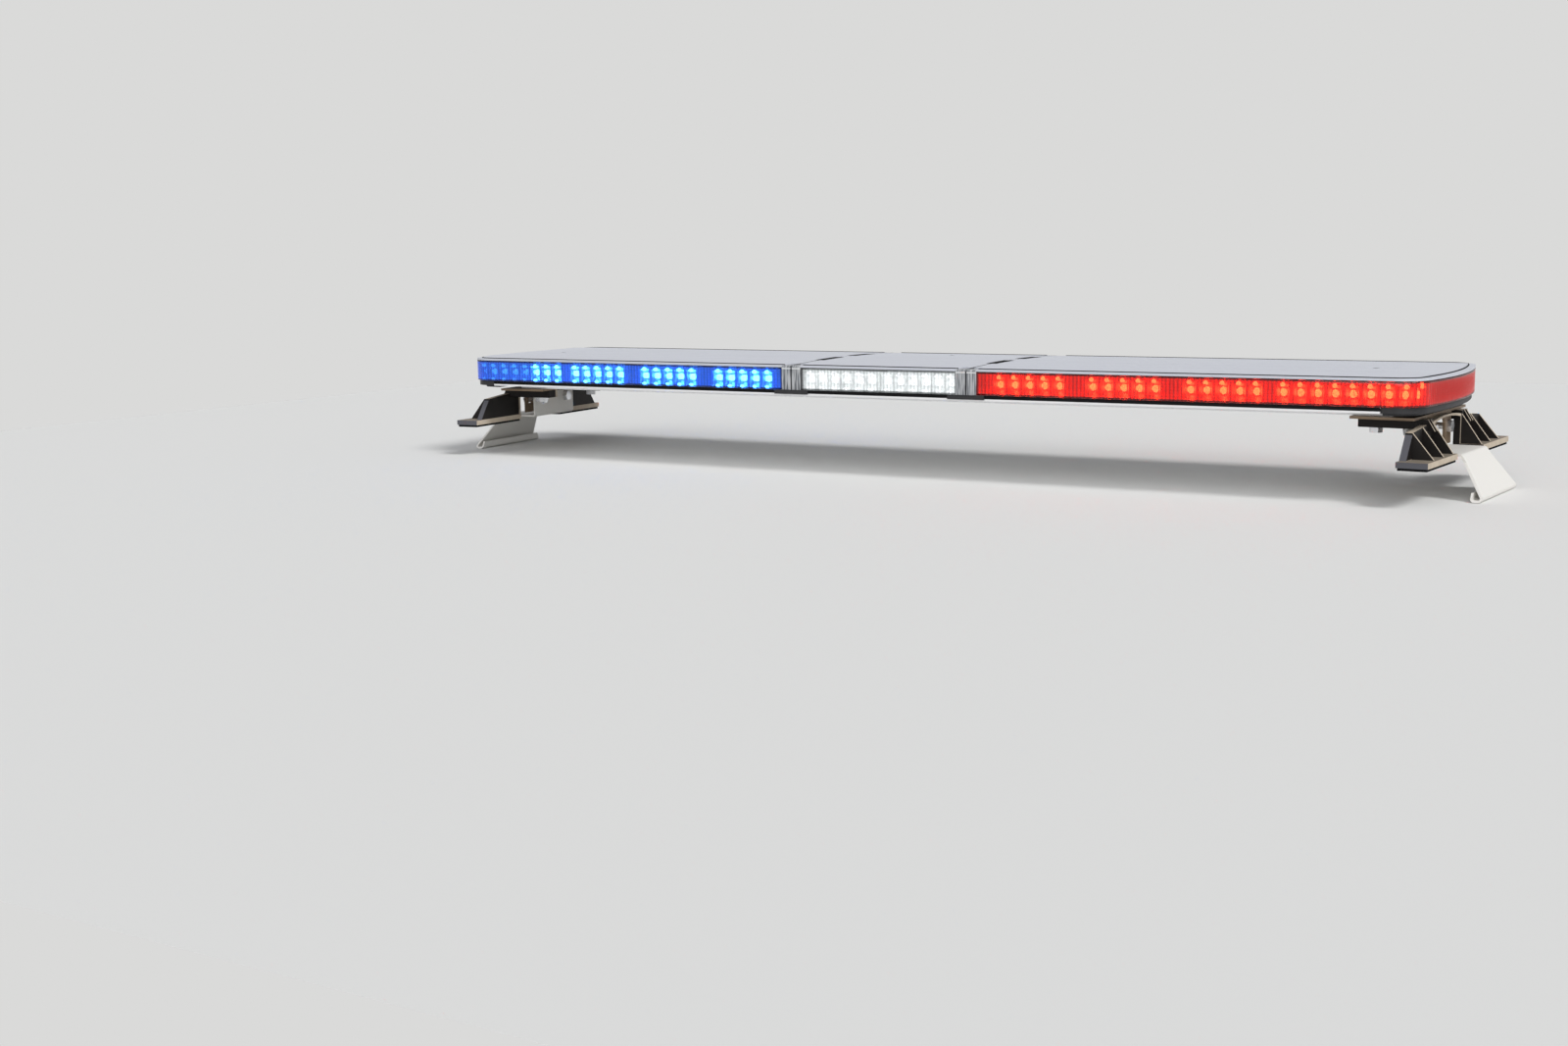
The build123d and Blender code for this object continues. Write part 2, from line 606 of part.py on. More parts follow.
def toed(part):
    """Turns a right-hand foot's piece about the middle of the foot, so that its front end is turned in."""
    middle = Axis((FOOT_OUTER - BLOCK_WIDTH / 2, 0, 0), (0, 0, 1))
    return part.rotate(middle, -FOOT_TOE)


with BuildPart() as straight_foot:
    with BuildSketch(Plane.YZ.offset(BLOCK_INNER)):
        shoulder = RIB_PLACES[0]
        web_end = FOOT_LENGTH / 2 - WEB_END_MARGIN
        with BuildLine():
            ThreePointArc((-shoulder, WEB_SHOULDER_TOP), (0, FOOT_CREST), (shoulder, WEB_SHOULDER_TOP))
            Polyline(
                (shoulder, WEB_SHOULDER_TOP),
                (RIB_PLACES[-1], WEB_END_TOP),
                (web_end, PAD_THICKNESS),
                (-web_end, PAD_THICKNESS),
                (-RIB_PLACES[-1], WEB_END_TOP),
                (-shoulder, WEB_SHOULDER_TOP),
            )
        make_face()
        arch_half = FOOT_GAP / 2
        with BuildLine():
            ThreePointArc((-arch_half, ARCH_SPRING), (0, FOOT_CREST - ARCH_FLANGE), (arch_half, ARCH_SPRING))
            Polyline((arch_half, ARCH_SPRING), (arch_half, 0), (-arch_half, 0), (-arch_half, ARCH_SPRING))
        make_face(mode=Mode.SUBTRACT)
    extrude(amount=WEB_THICKNESS)
    for front in ENDS.values():
        with Locations((BLOCK_INNER, front * block_place, PAD_THICKNESS)):
            Box(
                BLOCK_WIDTH,
                block_length,
                BLOCK_TOP - PAD_THICKNESS,
                align=(Align.MIN, Align.CENTER, Align.MIN),
            )
        for place in RIB_PLACES:
            with BuildSketch(Plane.XZ.offset(-front * place)):
                rib_outline(BLOCK_TOP, web_top(place))
            extrude(amount=RIB_THICKNESS / 2, both=True)
        for place in FIN_PLACES:
            with BuildSketch(Plane.XZ.offset(-front * place)):
                rib_outline(FOOT_CREST - FIN_DROP, FOOT_CREST)
            extrude(amount=FIN_THICKNESS / 2, both=True)
        arm_start = T_BOLT_X - BOLT_SHIFT - ARM_BOLT_MARGIN
        with Locations((WEB_OUTER, front * RAIL_PLACE, FOOT_CREST)):
            Box(
                WEB_OUTER - arm_start,
                ARM_WIDTH,
                ARM_HEIGHT,
                align=(Align.MAX, Align.CENTER, Align.MAX),
            )

with BuildPart() as foot_body_right:
    add(toed(straight_foot.part))
    with BuildSketch(Plane.XY.offset(FOOT_CREST)):
        with Locations(*rail_bolt_places):
            Rectangle(BOLT_SLOT_LENGTH, BOLT_SLOT_WIDTH, rotation=-FOOT_TOE)
    extrude(amount=-ARM_HEIGHT, mode=Mode.SUBTRACT)
save(foot_body_right.part, "foot_body_right")

# Rubber pads under the two blocks.
with BuildPart() as straight_pads:
    with BuildSketch():
        with Locations((FOOT_OUTER - BLOCK_WIDTH / 2, 0)):
            with GridLocations(0, 2 * block_place, 1, 2):
                Rectangle(BLOCK_WIDTH - 2 * PAD_INSET, block_length - 2 * PAD_INSET)
    extrude(amount=PAD_THICKNESS)

with BuildPart() as foot_pads_right:
    add(toed(straight_pads.part))
save(foot_pads_right.part, "foot_pads_right")

# Cradle: a bent steel plate under the rails, with a windowed tongue down behind the arch for the strap's bolts.
cradle_inner = T_BOLT_X - BOLT_SHIFT - CRADLE_BOLT_MARGIN
tongue_bottom = STRAP_TOP + TONGUE_GAP
with BuildPart() as straight_cradle:
    with Locations((cradle_inner, 0, FOOT_CREST)):
        Box(
            BLOCK_INNER - cradle_inner,
            CRADLE_WIDTH,
            CRADLE_THICKNESS,
            align=(Align.MIN, Align.CENTER, Align.MIN),
        )
    with BuildSketch(Plane.YZ.offset(BLOCK_INNER)):
        with Locations((0, CRADLE_TOP)):
            Rectangle(TONGUE_WIDTH, CRADLE_TOP - tongue_bottom, align=(Align.CENTER, Align.MAX))
        with BuildLine():
            window_half = WINDOW_WIDTH / 2
            window_top = FOOT_CREST - WINDOW_MARGIN
            FilletPolyline(
                (-window_half, tongue_bottom),
                (-window_half, window_top),
                (window_half, window_top),
                (window_half, tongue_bottom),
                radius=WINDOW_RADIUS,
            )
            Line((window_half, tongue_bottom), (-window_half, tongue_bottom))
        make_face(mode=Mode.SUBTRACT)
        with Locations((0, STRAP_BOLT_LEVEL)):
            with GridLocations(2 * STRAP_BOLT_PLACE, 0, 2, 1):
                Rectangle(BOLT_SLOT_WIDTH, BOLT_SLOT_LENGTH, mode=Mode.SUBTRACT)
    extrude(amount=-CRADLE_THICKNESS)

with BuildPart() as foot_cradle_right:
    add(toed(straight_cradle.part))
    with BuildSketch(Plane.XY.offset(FOOT_CREST)):
        with Locations(*rail_bolt_places):
            Rectangle(BOLT_SLOT_LENGTH, BOLT_SLOT_WIDTH, rotation=-FOOT_TOE)
    extrude(amount=CRADLE_THICKNESS, mode=Mode.SUBTRACT)
save(foot_cradle_right.part, "foot_cradle_right")

# Roof strap: one bent strip of steel, turned up at its inner end for the bolts, out under the arch, down over
# the roof's edge, and hooked inwards.
with BuildPart() as straight_strap:
    middle_z = STRAP_TOP - STRAP_THICKNESS / 2
    drop_x = STRAP_BEND + STRAP_DROP_OUT
    drop_z = middle_z - STRAP_DROP
    with BuildSketch(Plane.XZ):
        with BuildLine():
            FilletPolyline(
                (STRAP_INNER, middle_z + STRAP_UPTURN),
                (STRAP_INNER, middle_z),
                (STRAP_BEND, middle_z),
                (drop_x, drop_z),
                (drop_x - HOOK_RETURN, drop_z),
                (drop_x - HOOK_RETURN, drop_z + HOOK_RISE),
                radius=HOOK_RADIUS,
            )
        trace(line_width=STRAP_THICKNESS)
    extrude(amount=STRAP_LOWER_WIDTH / 2, both=True)
    with BuildSketch(Plane.YZ.offset(STRAP_INNER)):
        strap_low = drop_z - STRAP_THICKNESS
        strap_high = middle_z + STRAP_UPTURN
        Polygon(
            (-STRAP_WIDTH / 2, strap_high),
            (-STRAP_WIDTH / 2, 0),
            (-STRAP_LOWER_WIDTH / 2, strap_low),
            (STRAP_LOWER_WIDTH / 2, strap_low),
            (STRAP_WIDTH / 2, 0),
            (STRAP_WIDTH / 2, strap_high),
            align=None,
        )
    extrude(amount=2 * (drop_x - STRAP_INNER), both=True, mode=Mode.INTERSECT)
    with BuildSketch(Plane.YZ.offset(STRAP_INNER)):
        with Locations((0, STRAP_BOLT_LEVEL)):
            with GridLocations(2 * STRAP_BOLT_PLACE, 0, 2, 1):
                Rectangle(BOLT_SLOT_WIDTH, BOLT_SLOT_LENGTH)
    extrude(amount=STRAP_THICKNESS, both=True, mode=Mode.SUBTRACT)

with BuildPart() as roof_strap_right:
    add(toed(straight_strap.part))
save(roof_strap_right.part, "roof_strap_right")

# Rail bolts: square heads captive in the T-slots, shanks down through the cradle and arms, nuts below.
with BuildPart() as rail_bolts_right:
    head_z = RAIL_BOTTOM + T_SLOT_LIP + (T_SLOT_HEIGHT - T_HEAD_HEIGHT) / 2
    nut_top = FOOT_CREST - ARM_HEIGHT
    nut_bottom = nut_top - NUT_HEIGHT
    with Locations(*rail_bolt_places):
        with Locations((0, 0, head_z)):
            Box(T_HEAD_SIZE, T_HEAD_SIZE, T_HEAD_HEIGHT, align=(Align.CENTER, Align.CENTER, Align.MIN))
        with Locations((0, 0, nut_bottom)):
            Cylinder(BOLT_RADIUS, head_z - nut_bottom, align=(Align.CENTER, Align.CENTER, Align.MIN))
    with BuildSketch(Plane.XY.offset(nut_top)):
        with Locations(*rail_bolt_places):
            RegularPolygon(NUT_RADIUS, 6)
    extrude(amount=-NUT_HEIGHT)
save(rail_bolts_right.part, "rail_bolts_right")

# Strap bolts: hexagon heads on the tongue's outer face, shanks in through it and the strap's upturned end,
# nuts on the inside.
with BuildPart() as straight_strap_bolts:
    nut_face = STRAP_INNER - STRAP_THICKNESS / 2
    for face, height in ((BLOCK_INNER, STRAP_BOLT_HEAD), (nut_face, -NUT_HEIGHT)):
        with BuildSketch(Plane.YZ.offset(face)):
            with Locations((0, STRAP_BOLT_LEVEL)):
                with GridLocations(2 * STRAP_BOLT_PLACE, 0, 2, 1):
                    RegularPolygon(NUT_RADIUS, 6)
        extrude(amount=height)
    with BuildSketch(Plane.YZ.offset(nut_face)):
        with Locations((0, STRAP_BOLT_LEVEL)):
            with GridLocations(2 * STRAP_BOLT_PLACE, 0, 2, 1):
                Circle(BOLT_RADIUS)
    extrude(amount=BLOCK_INNER - nut_face)

with BuildPart() as strap_bolts_right:
    add(toed(straight_strap_bolts.part))
save(strap_bolts_right.part, "strap_bolts_right")

# The left foot is the right one's mirror image.
right_foot = {
    "foot_body": foot_body_right,
    "foot_pads": foot_pads_right,
    "foot_cradle": foot_cradle_right,
    "roof_strap": roof_strap_right,
    "rail_bolts": rail_bolts_right,
    "strap_bolts": strap_bolts_right,
}
for name, piece in right_foot.items():
    with BuildPart() as left_piece:
        mirror(piece.part, about=Plane.YZ)
    save(left_piece.part, f"{name}_left")
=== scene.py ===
import math

import bmesh
import bpy
from mathutils import Matrix, Vector


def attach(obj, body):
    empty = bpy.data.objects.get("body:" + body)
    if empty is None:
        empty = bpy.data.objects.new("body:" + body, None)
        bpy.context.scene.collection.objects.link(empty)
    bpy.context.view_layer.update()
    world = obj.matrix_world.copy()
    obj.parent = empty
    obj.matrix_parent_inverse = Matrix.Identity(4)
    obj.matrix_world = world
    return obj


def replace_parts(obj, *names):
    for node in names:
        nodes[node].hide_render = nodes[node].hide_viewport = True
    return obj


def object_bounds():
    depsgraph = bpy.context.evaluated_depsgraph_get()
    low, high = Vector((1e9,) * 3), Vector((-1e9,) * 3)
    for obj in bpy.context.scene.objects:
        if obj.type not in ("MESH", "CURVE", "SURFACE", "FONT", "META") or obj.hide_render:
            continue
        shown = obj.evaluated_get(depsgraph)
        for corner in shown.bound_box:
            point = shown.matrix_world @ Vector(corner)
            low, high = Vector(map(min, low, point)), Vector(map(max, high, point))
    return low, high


# The part as it was packed. X runs along the bar, -Y is the vehicle's front, and Z is up, in metres.
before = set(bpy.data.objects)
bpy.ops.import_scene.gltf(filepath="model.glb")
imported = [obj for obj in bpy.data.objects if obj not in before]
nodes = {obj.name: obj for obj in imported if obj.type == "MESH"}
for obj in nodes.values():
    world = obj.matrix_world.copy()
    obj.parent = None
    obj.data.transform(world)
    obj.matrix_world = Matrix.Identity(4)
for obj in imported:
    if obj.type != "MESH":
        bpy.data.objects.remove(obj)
bpy.context.view_layer.update()
cad_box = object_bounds()
MM = 0.001


# Base extrusion
# The real one is a long aluminium profile, clear anodised after extrusion, that carries everything
# else. The die leaves faint lines along it, and the lip along each side is its brightest edge.
def linear(hex_code):
    """Turns an sRGB hex colour into the linear colour that a shader takes."""
    channels = [int(hex_code[i : i + 2], 16) / 255 for i in (1, 3, 5)]
    return (*((c / 12.92 if c <= 0.04045 else ((c + 0.055) / 1.055) ** 2.4) for c in channels), 1.0)


def new_material(name, **surface):
    """Starts a material and sets its shader's own sockets, which are named here by keyword."""
    material = bpy.data.materials.new(name)
    material.use_nodes = True
    shader = material.node_tree.nodes["Principled BSDF"]
    for socket, value in surface.items():
        shader.inputs[socket.replace("_", " ")].default_value = value
    return material, shader


def add_node(owner, kind, inputs, **settings):
    """Adds a shader node to a material or the world with its settings, and fills or links its inputs."""
    node = owner.node_tree.nodes.new(kind)
    for name, value in settings.items():
        setattr(node, name, value)
    for socket, value in inputs.items():
        if isinstance(value, bpy.types.NodeSocket):
            owner.node_tree.links.new(value, node.inputs[socket])
        else:
            node.inputs[socket].default_value = value
    return node


def link(owner, output, target):
    """Joins a node's output to an input."""
    owner.node_tree.links.new(output, target)


def coat(names, material):
    """Gives CAD nodes their material."""
    for name in names:
        mesh = nodes[name].data
        mesh.materials.clear()
        mesh.materials.append(material)


anodised, shader = new_material(
    "clear_anodised_aluminium_extrusion",
    Base_Color=linear("#F6F6F7"),
    Metallic=0.3,
    Roughness=0.34,
)
place = add_node(anodised, "ShaderNodeTexCoord", {})
die_stretch = add_node(
    anodised,
    "ShaderNodeMapping",
    {"Vector": place.outputs["Object"], "Scale": (3.0, 1 / (1.2 * MM), 1 / (1.2 * MM))},
)
die_lines = add_node(
    anodised,
    "ShaderNodeTexNoise",
    {"Vector": die_stretch.outputs["Vector"], "Scale": 1.0, "Detail": 3.0},
)
die_bump = add_node(
    anodised,
    "ShaderNodeBump",
    {"Height": die_lines.outputs["Fac"], "Strength": 0.3, "Distance": 0.05 * MM},
)
link(anodised, die_bump.outputs["Normal"], shader.inputs["Normal"])
die_gloss = add_node(
    anodised,
    "ShaderNodeMapRange",
    {"Value": die_lines.outputs["Fac"], "To Min": 0.26, "To Max": 0.42},
)
link(anodised, die_gloss.outputs["Result"], shader.inputs["Roughness"])
coat(["base_extrusion"], anodised)

# End trays and latches
# These are injection moulded in black nylon with glass in it. The mould's spark-eroded face gives
# them a matt grain, drawn a little coarser than the real one's, and paler where the glass surfaces.
nylon, shader = new_material("black_moulded_nylon", Base_Color=linear("#17171A"), Roughness=0.55, IOR=1.53)
place = add_node(nylon, "ShaderNodeTexCoord", {})
grain = add_node(
    nylon,
    "ShaderNodeTexNoise",
    {"Vector": place.outputs["Object"], "Scale": 1 / (0.8 * MM), "Detail": 4.0, "Roughness": 0.6},
)
grain_bump = add_node(
    nylon,
    "ShaderNodeBump",
    {"Height": grain.outputs["Fac"], "Strength": 0.25, "Distance": 0.08 * MM},
)
link(nylon, grain_bump.outputs["Normal"], shader.inputs["Normal"])
flow = add_node(
    nylon,
    "ShaderNodeTexNoise",
    {"Vector": place.outputs["Object"], "Scale": 1 / (18 * MM), "Detail": 3.0},
)
glass_bloom = add_node(
    nylon,
    "ShaderNodeMix",
    {"Factor": flow.outputs["Fac"], "A": linear("#121214"), "B": linear("#232327")},
    data_type="RGBA",
)
link(nylon, glass_bloom.outputs["Result"], shader.inputs["Base Color"])
coat(["end_tray_left", "end_tray_right", "latches_left", "latches_right"], nylon)


# Lamp modules
# Each is a moulded tray of reflector cells, metallised under vacuum so that it is a bright mirror.
# Lit, its facets throw the diodes' colour about unevenly, which the material's glow stands for.
def lit_reflector(name, metal_hex, glow_hex, glow):
    """Metallised plastic that the diodes light up in their own colour, more in some facets."""
    material, shader = new_material(
        name,
        Base_Color=linear(metal_hex),
        Metallic=1.0,
        Roughness=0.4,
        Emission_Color=linear(glow_hex),
    )
    place = add_node(material, "ShaderNodeTexCoord", {})
    ripple = add_node(
        material,
        "ShaderNodeTexNoise",
        {"Vector": place.outputs["Object"], "Scale": 1 / (4 * MM), "Detail": 2.0},
    )
    ripple_bump = add_node(
        material,
        "ShaderNodeBump",
        {"Height": ripple.outputs["Fac"], "Strength": 0.3, "Distance": 0.3 * MM},
    )
    link(material, ripple_bump.outputs["Normal"], shader.inputs["Normal"])
    facets = add_node(
        material,
        "ShaderNodeTexVoronoi",
        {"Vector": place.outputs["Object"], "Scale": 1 / (5 * MM)},
    )
    facet_glow = add_node(
        material,
        "ShaderNodeMapRange",
        {"Value": facets.outputs["Distance"], "From Max": 0.8, "To Min": 1.4 * glow, "To Max": 0.5 * glow},
    )
    link(material, facet_glow.outputs["Result"], shader.inputs["Emission Strength"])
    return material


red_reflector = lit_reflector("red_lit_metallised_reflector", "#A8A9AC", "#FF5A3A", 0.3)
blue_reflector = lit_reflector("blue_lit_metallised_reflector", "#9A9B9E", "#50C8FF", 0.4)
white_reflector = lit_reflector("white_lit_metallised_reflector", "#C8CACC", "#F4F8F2", 0.6)
# The alley lamps are off, yet their reflectors keep a faint painted warm glow.
alley_reflector = lit_reflector("unlit_metallised_reflector", "#D8D4C8", "#FF8A4A", 0.05)
for end in ("front", "rear"):
    coat([f"lamp_bank_right_{end}", f"lamp_corner_right_{end}"], red_reflector)
    coat([f"lamp_bank_left_{end}", f"lamp_corner_left_{end}"], blue_reflector)
    coat([f"lamp_centre_{end}"], white_reflector)
coat(["lamp_alley_left", "lamp_alley_right"], alley_reflector)

# Light-emitting diodes
# Each is a square package with a clear silicone dome, set a little below the middle of its cell. It
# shows again, smaller, in a facet of the cell's upper wall, and the blue and white ones in the lower
# wall too; these reflections are painted, as smaller glowing domes in front of the diode.
DOME_RINGS = 5
DOME_SEGMENTS = 16
DOME_DEPTH = 0.6
SHARP_FROM = math.radians(45)
BAR_HALF_LENGTH = 686 * MM
BAR_HALF_DEPTH = 145 * MM
CORNER_RADIUS = 34 * MM
CORNER_CENTRE = Vector((641.0 * MM, 111.0 * MM))
FACE_SETBACK = 8 * MM
CHIP_DEPTH = 5.0 * MM
CHIP_PLACE = BAR_HALF_DEPTH - FACE_SETBACK - CHIP_DEPTH
LED_PITCH = 19.4 * MM
MODULE_PITCH = 120.5 * MM
# From the bar's middle to the first module, and along the row to the first corner diode.
FIRST_MODULE = 206 * MM
CORNER_LED = 516.95 * MM
MODULES_A_SIDE = 3
LEDS_A_MODULE = 5
CORNER_LEDS = 9
CENTRE_LEDS = 6
ALLEY_LEDS = 5
# A diode and its painted reflections, each as a height, two half sizes and a shift to the front in
# millimetres.
RED_DIODE_AND_REFLECTIONS = ((0.6, 3.9, 4.6, 0.0), (9.4, 3.0, 2.2, 5.0))
BLUE_DIODE_AND_REFLECTIONS = ((0.2, 5.0, 4.2, 0.0), (8.8, 4.2, 2.2, 4.6), (-9.2, 3.4, 1.0, 5.0))
WHITE_DIODE_AND_REFLECTIONS = ((1.0, 5.6, 4.8, 0.0), (9.2, 5.0, 2.2, 4.6), (-9.0, 4.6, 1.4, 5.0))
LAMP_HEIGHT = 79.5 * MM


def lit_dome(name, hex_code, strength):
    """A diode's material: silicone that glows with its chip's colour, most where the chip shows."""
    material, shader = new_material(
        name,
        Base_Color=linear(hex_code),
        Roughness=0.2,
        Emission_Color=linear(hex_code),
    )
    place = add_node(material, "ShaderNodeTexCoord", {})
    bubbles = add_node(
        material,
        "ShaderNodeTexNoise",
        {"Vector": place.outputs["Object"], "Scale": 1 / (3 * MM), "Detail": 2.0},
    )
    chip_glow = add_node(
        material,
        "ShaderNodeMapRange",
        {
            "Value": bubbles.outputs["Fac"],
            "From Min": 0.3,
            "From Max": 0.7,
            "To Min": 0.5 * strength,
            "To Max": 1.5 * strength,
        },
    )
    link(material, chip_glow.outputs["Result"], shader.inputs["Emission Strength"])
    return material


def join_rings(mesh, rings):
    """Joins each ring of vertices to the next with a band of faces."""
    for ring, following in zip(rings, rings[1:]):
        for k in range(len(ring)):
            after = (k + 1) % len(ring)
            mesh.faces.new((ring[k], ring[after], following[after], following[k]))


def add_diode(mesh, place, outward, spots):
    """Adds the domes of a diode and of its painted reflections to a mesh."""
    out = Vector((*outward, 0)).normalized()
    across = out.cross(Vector((0, 0, 1)))
    up = Vector((0, 0, 1))
    for level, wide, tall, forward in spots:
        centre = Vector((*place, LAMP_HEIGHT + level * MM)) + out * forward * MM
        depth = out * wide * MM * DOME_DEPTH
        rings = []
        for number in range(DOME_RINGS):
            rise = number / DOME_RINGS * math.pi / 2
            ring = []
            for k in range(DOME_SEGMENTS):
                turn = 2 * math.pi * k / DOME_SEGMENTS
                reach = across * wide * math.cos(turn) + up * tall * math.sin(turn)
                ring.append(mesh.verts.new(centre + depth * math.sin(rise) + reach * MM * math.cos(rise)))
            rings.append(ring)
        tip = mesh.verts.new(centre + depth)
        join_rings(mesh, rings)
        for k in range(DOME_SEGMENTS):
            mesh.faces.new((rings[-1][k], rings[-1][(k + 1) % DOME_SEGMENTS], tip))
        mesh.faces.new(list(reversed(rings[0])))


def finish_piece(name, mesh, material, body):
    """Turns a finished bmesh into a smooth object that rides on a body, with its edges kept sharp."""
    bmesh.ops.recalc_face_normals(mesh, faces=mesh.faces)
    data = bpy.data.meshes.new(name)
    mesh.to_mesh(data)
    mesh.free()
    data.polygons.foreach_set("use_smooth", [True] * len(data.polygons))
    data.set_sharp_from_angle(angle=SHARP_FROM)
    data.materials.append(material)
    piece = bpy.data.objects.new(name, data)
    bpy.context.scene.collection.objects.link(piece)
    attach(piece, body)
    return piece


def corner_point(distance, setback):
    """A point and outward direction on a line set back from the bar's side, which turns its corner."""
    radius = CORNER_RADIUS - setback
    if distance <= CORNER_CENTRE.x:
        return (distance, CORNER_CENTRE.y + radius), (0, 1)
    turn = (distance - CORNER_CENTRE.x) / (CORNER_RADIUS - FACE_SETBACK)
    out = (math.sin(turn), math.cos(turn))
    return (CORNER_CENTRE.x + radius * out[0], CORNER_CENTRE.y + radius * out[1]), out


red_glow = lit_dome("red_diode_silicone", "#E0FFB8", 64.0)
blue_glow = lit_dome("blue_diode_silicone", "#FFFFF0", 54.0)
white_glow = lit_dome("white_diode_silicone", "#FFFFFF", 0.9)
# The alley diodes are off too, with a faint painted glow.
alley_glow = lit_dome("unlit_white_diode_silicone", "#F3E9B8", 0.1)
dim_blue_glow = lit_dome("dim_blue_diode_silicone", "#FFFFF0", 3.0)
# The first of each corner's diodes are lit like the banks; the rest have a glow of their own.
BRIGHT_CORNER_LEDS = 3
DIODE_SETS = (
    ("left", -1, blue_glow, dim_blue_glow, BLUE_DIODE_AND_REFLECTIONS),
    ("right", 1, red_glow, red_glow, RED_DIODE_AND_REFLECTIONS),
)
for side, sign, glow, corner_glow, spots in DIODE_SETS:
    diodes = bmesh.new()
    corner_diodes = bmesh.new()
    for end in (-1, 1):
        for module in range(MODULES_A_SIDE):
            for led in range(LEDS_A_MODULE):
                from_module = LED_PITCH * (led - (LEDS_A_MODULE - 1) / 2)
                x = sign * (FIRST_MODULE + MODULE_PITCH * module + from_module)
                add_diode(diodes, (x, end * CHIP_PLACE), (0, end), spots)
        for led in range(CORNER_LEDS):
            (x, y), out = corner_point(CORNER_LED + LED_PITCH * led, FACE_SETBACK + CHIP_DEPTH)
            strip = corner_diodes if led >= BRIGHT_CORNER_LEDS else diodes
            add_diode(strip, (sign * x, end * y), (sign * out[0], end * out[1]), spots)
    finish_piece(f"diodes_{side}", diodes, glow, "bar")
    finish_piece(f"corner_diodes_{side}", corner_diodes, corner_glow, "bar")

CENTRE_MODULE_PLACE = 56.5 * MM
CENTRE_LED_PITCH = 18 * MM
diodes = bmesh.new()
for end in (-1, 1):
    for module in (-1, 1):
        for led in range(CENTRE_LEDS):
            x = module * CENTRE_MODULE_PLACE + CENTRE_LED_PITCH * (led - (CENTRE_LEDS - 1) / 2)
            add_diode(diodes, (x, end * CHIP_PLACE), (0, end), WHITE_DIODE_AND_REFLECTIONS)
finish_piece("diodes_centre", diodes, white_glow, "bar")

ALLEY_LED_PITCH = 20 * MM
diodes = bmesh.new()
for sign in (-1, 1):
    for led in range(ALLEY_LEDS):
        x = sign * (BAR_HALF_LENGTH - FACE_SETBACK - CHIP_DEPTH)
        y = ALLEY_LED_PITCH * (led - (ALLEY_LEDS - 1) / 2)
        add_diode(diodes, (x, y), (sign, 0), RED_DIODE_AND_REFLECTIONS)
finish_piece("diodes_alley", diodes, alley_glow, "bar")

# Lenses
# The lenses are injection moulded in polycarbonate, dyed through, and polished outside. Upright
# flutes, which come through at the ends, and finer optics along the foot spread the light.
LENS_START = 139.75 * MM
CENTRE_LENS_HALF = 111.75 * MM
LENS_FOOT = 67 * MM
GASKET_THICKNESS = 0.7 * MM
COVER_BOTTOM = 96 * MM
LENS_HEIGHT = COVER_BOTTOM - GASKET_THICKNESS - LENS_FOOT
LENS_WALL = 3 * MM
LENS_EDGE_ROUND = 0.5 * MM
LENS_ROWS = 6
FLUTE_PITCH = 4.8 * MM
FLUTE_DEPTH = 0.12 * MM
ROW_PITCH = 3.6 * MM
FOOT_OPTICS_HEIGHT = 9.5 * MM
FLANGE_SHADE = 2.8 * MM
# Each way from the middle of an end lens: how far it is unlit, and how far hazy, with their fades.
UNLIT_HALF = 100 * MM
LIT_FADE = 60 * MM
HAZE_HALF = 90 * MM
HAZE_FADE = 40 * MM
# Shares of the glow between flutes, on them, and under the flanges.
FLUTE_VALLEY = 0.55
FLUTE_CREST = 1.3
FLANGE_GLOW = 0.15
# The end lenses are fluted outside too on the last stretch, and the mesh follows each flute.
COLUMN_PITCH = 0.6 * MM
END_FLUTE_DEPTH = 0.7 * MM
END_FLUTES_HALF = 128 * MM
END_FLUTES_FADE = 14 * MM
# An end lens runs straight, turns a corner, and crosses the bar's end on a wide arc.
END_RADIUS = 599.49 * MM
END_CENTRE = BAR_HALF_LENGTH - END_RADIUS
END_SWEEP = math.asin(CORNER_CENTRE.y / (END_RADIUS - CORNER_RADIUS))
STRAIGHT_RUN = CORNER_CENTRE.x - LENS_START
CORNER_RUN = CORNER_RADIUS * (math.pi / 2 - END_SWEEP)
HALF_RUN = STRAIGHT_RUN + CORNER_RUN + END_RADIUS * END_SWEEP


def rim_point(distance):
    """A point and outward direction on an end lens's face, at a distance from the front joint."""
    side = -1 if distance < HALF_RUN else 1
    run = min(distance, 2 * HALF_RUN - distance)
    if run <= STRAIGHT_RUN:
        return (LENS_START + run, side * BAR_HALF_DEPTH), (0, side)
    if run <= STRAIGHT_RUN + CORNER_RUN:
        turn = (run - STRAIGHT_RUN) / CORNER_RADIUS
        out = (math.sin(turn), side * math.cos(turn))
        x = CORNER_CENTRE.x + CORNER_RADIUS * out[0]
        return (x, side * CORNER_CENTRE.y + CORNER_RADIUS * out[1]), out
    turn = (HALF_RUN - run) / END_RADIUS
    out = (math.cos(turn), side * math.sin(turn))
    return (END_CENTRE + END_RADIUS * out[0], END_RADIUS * out[1]), out


def close_skin(mesh, rings):
    """Joins rings of vertices and closes the first and the last."""
    join_rings(mesh, rings)
    mesh.faces.new(rings[0])
    mesh.faces.new(list(reversed(rings[-1])))


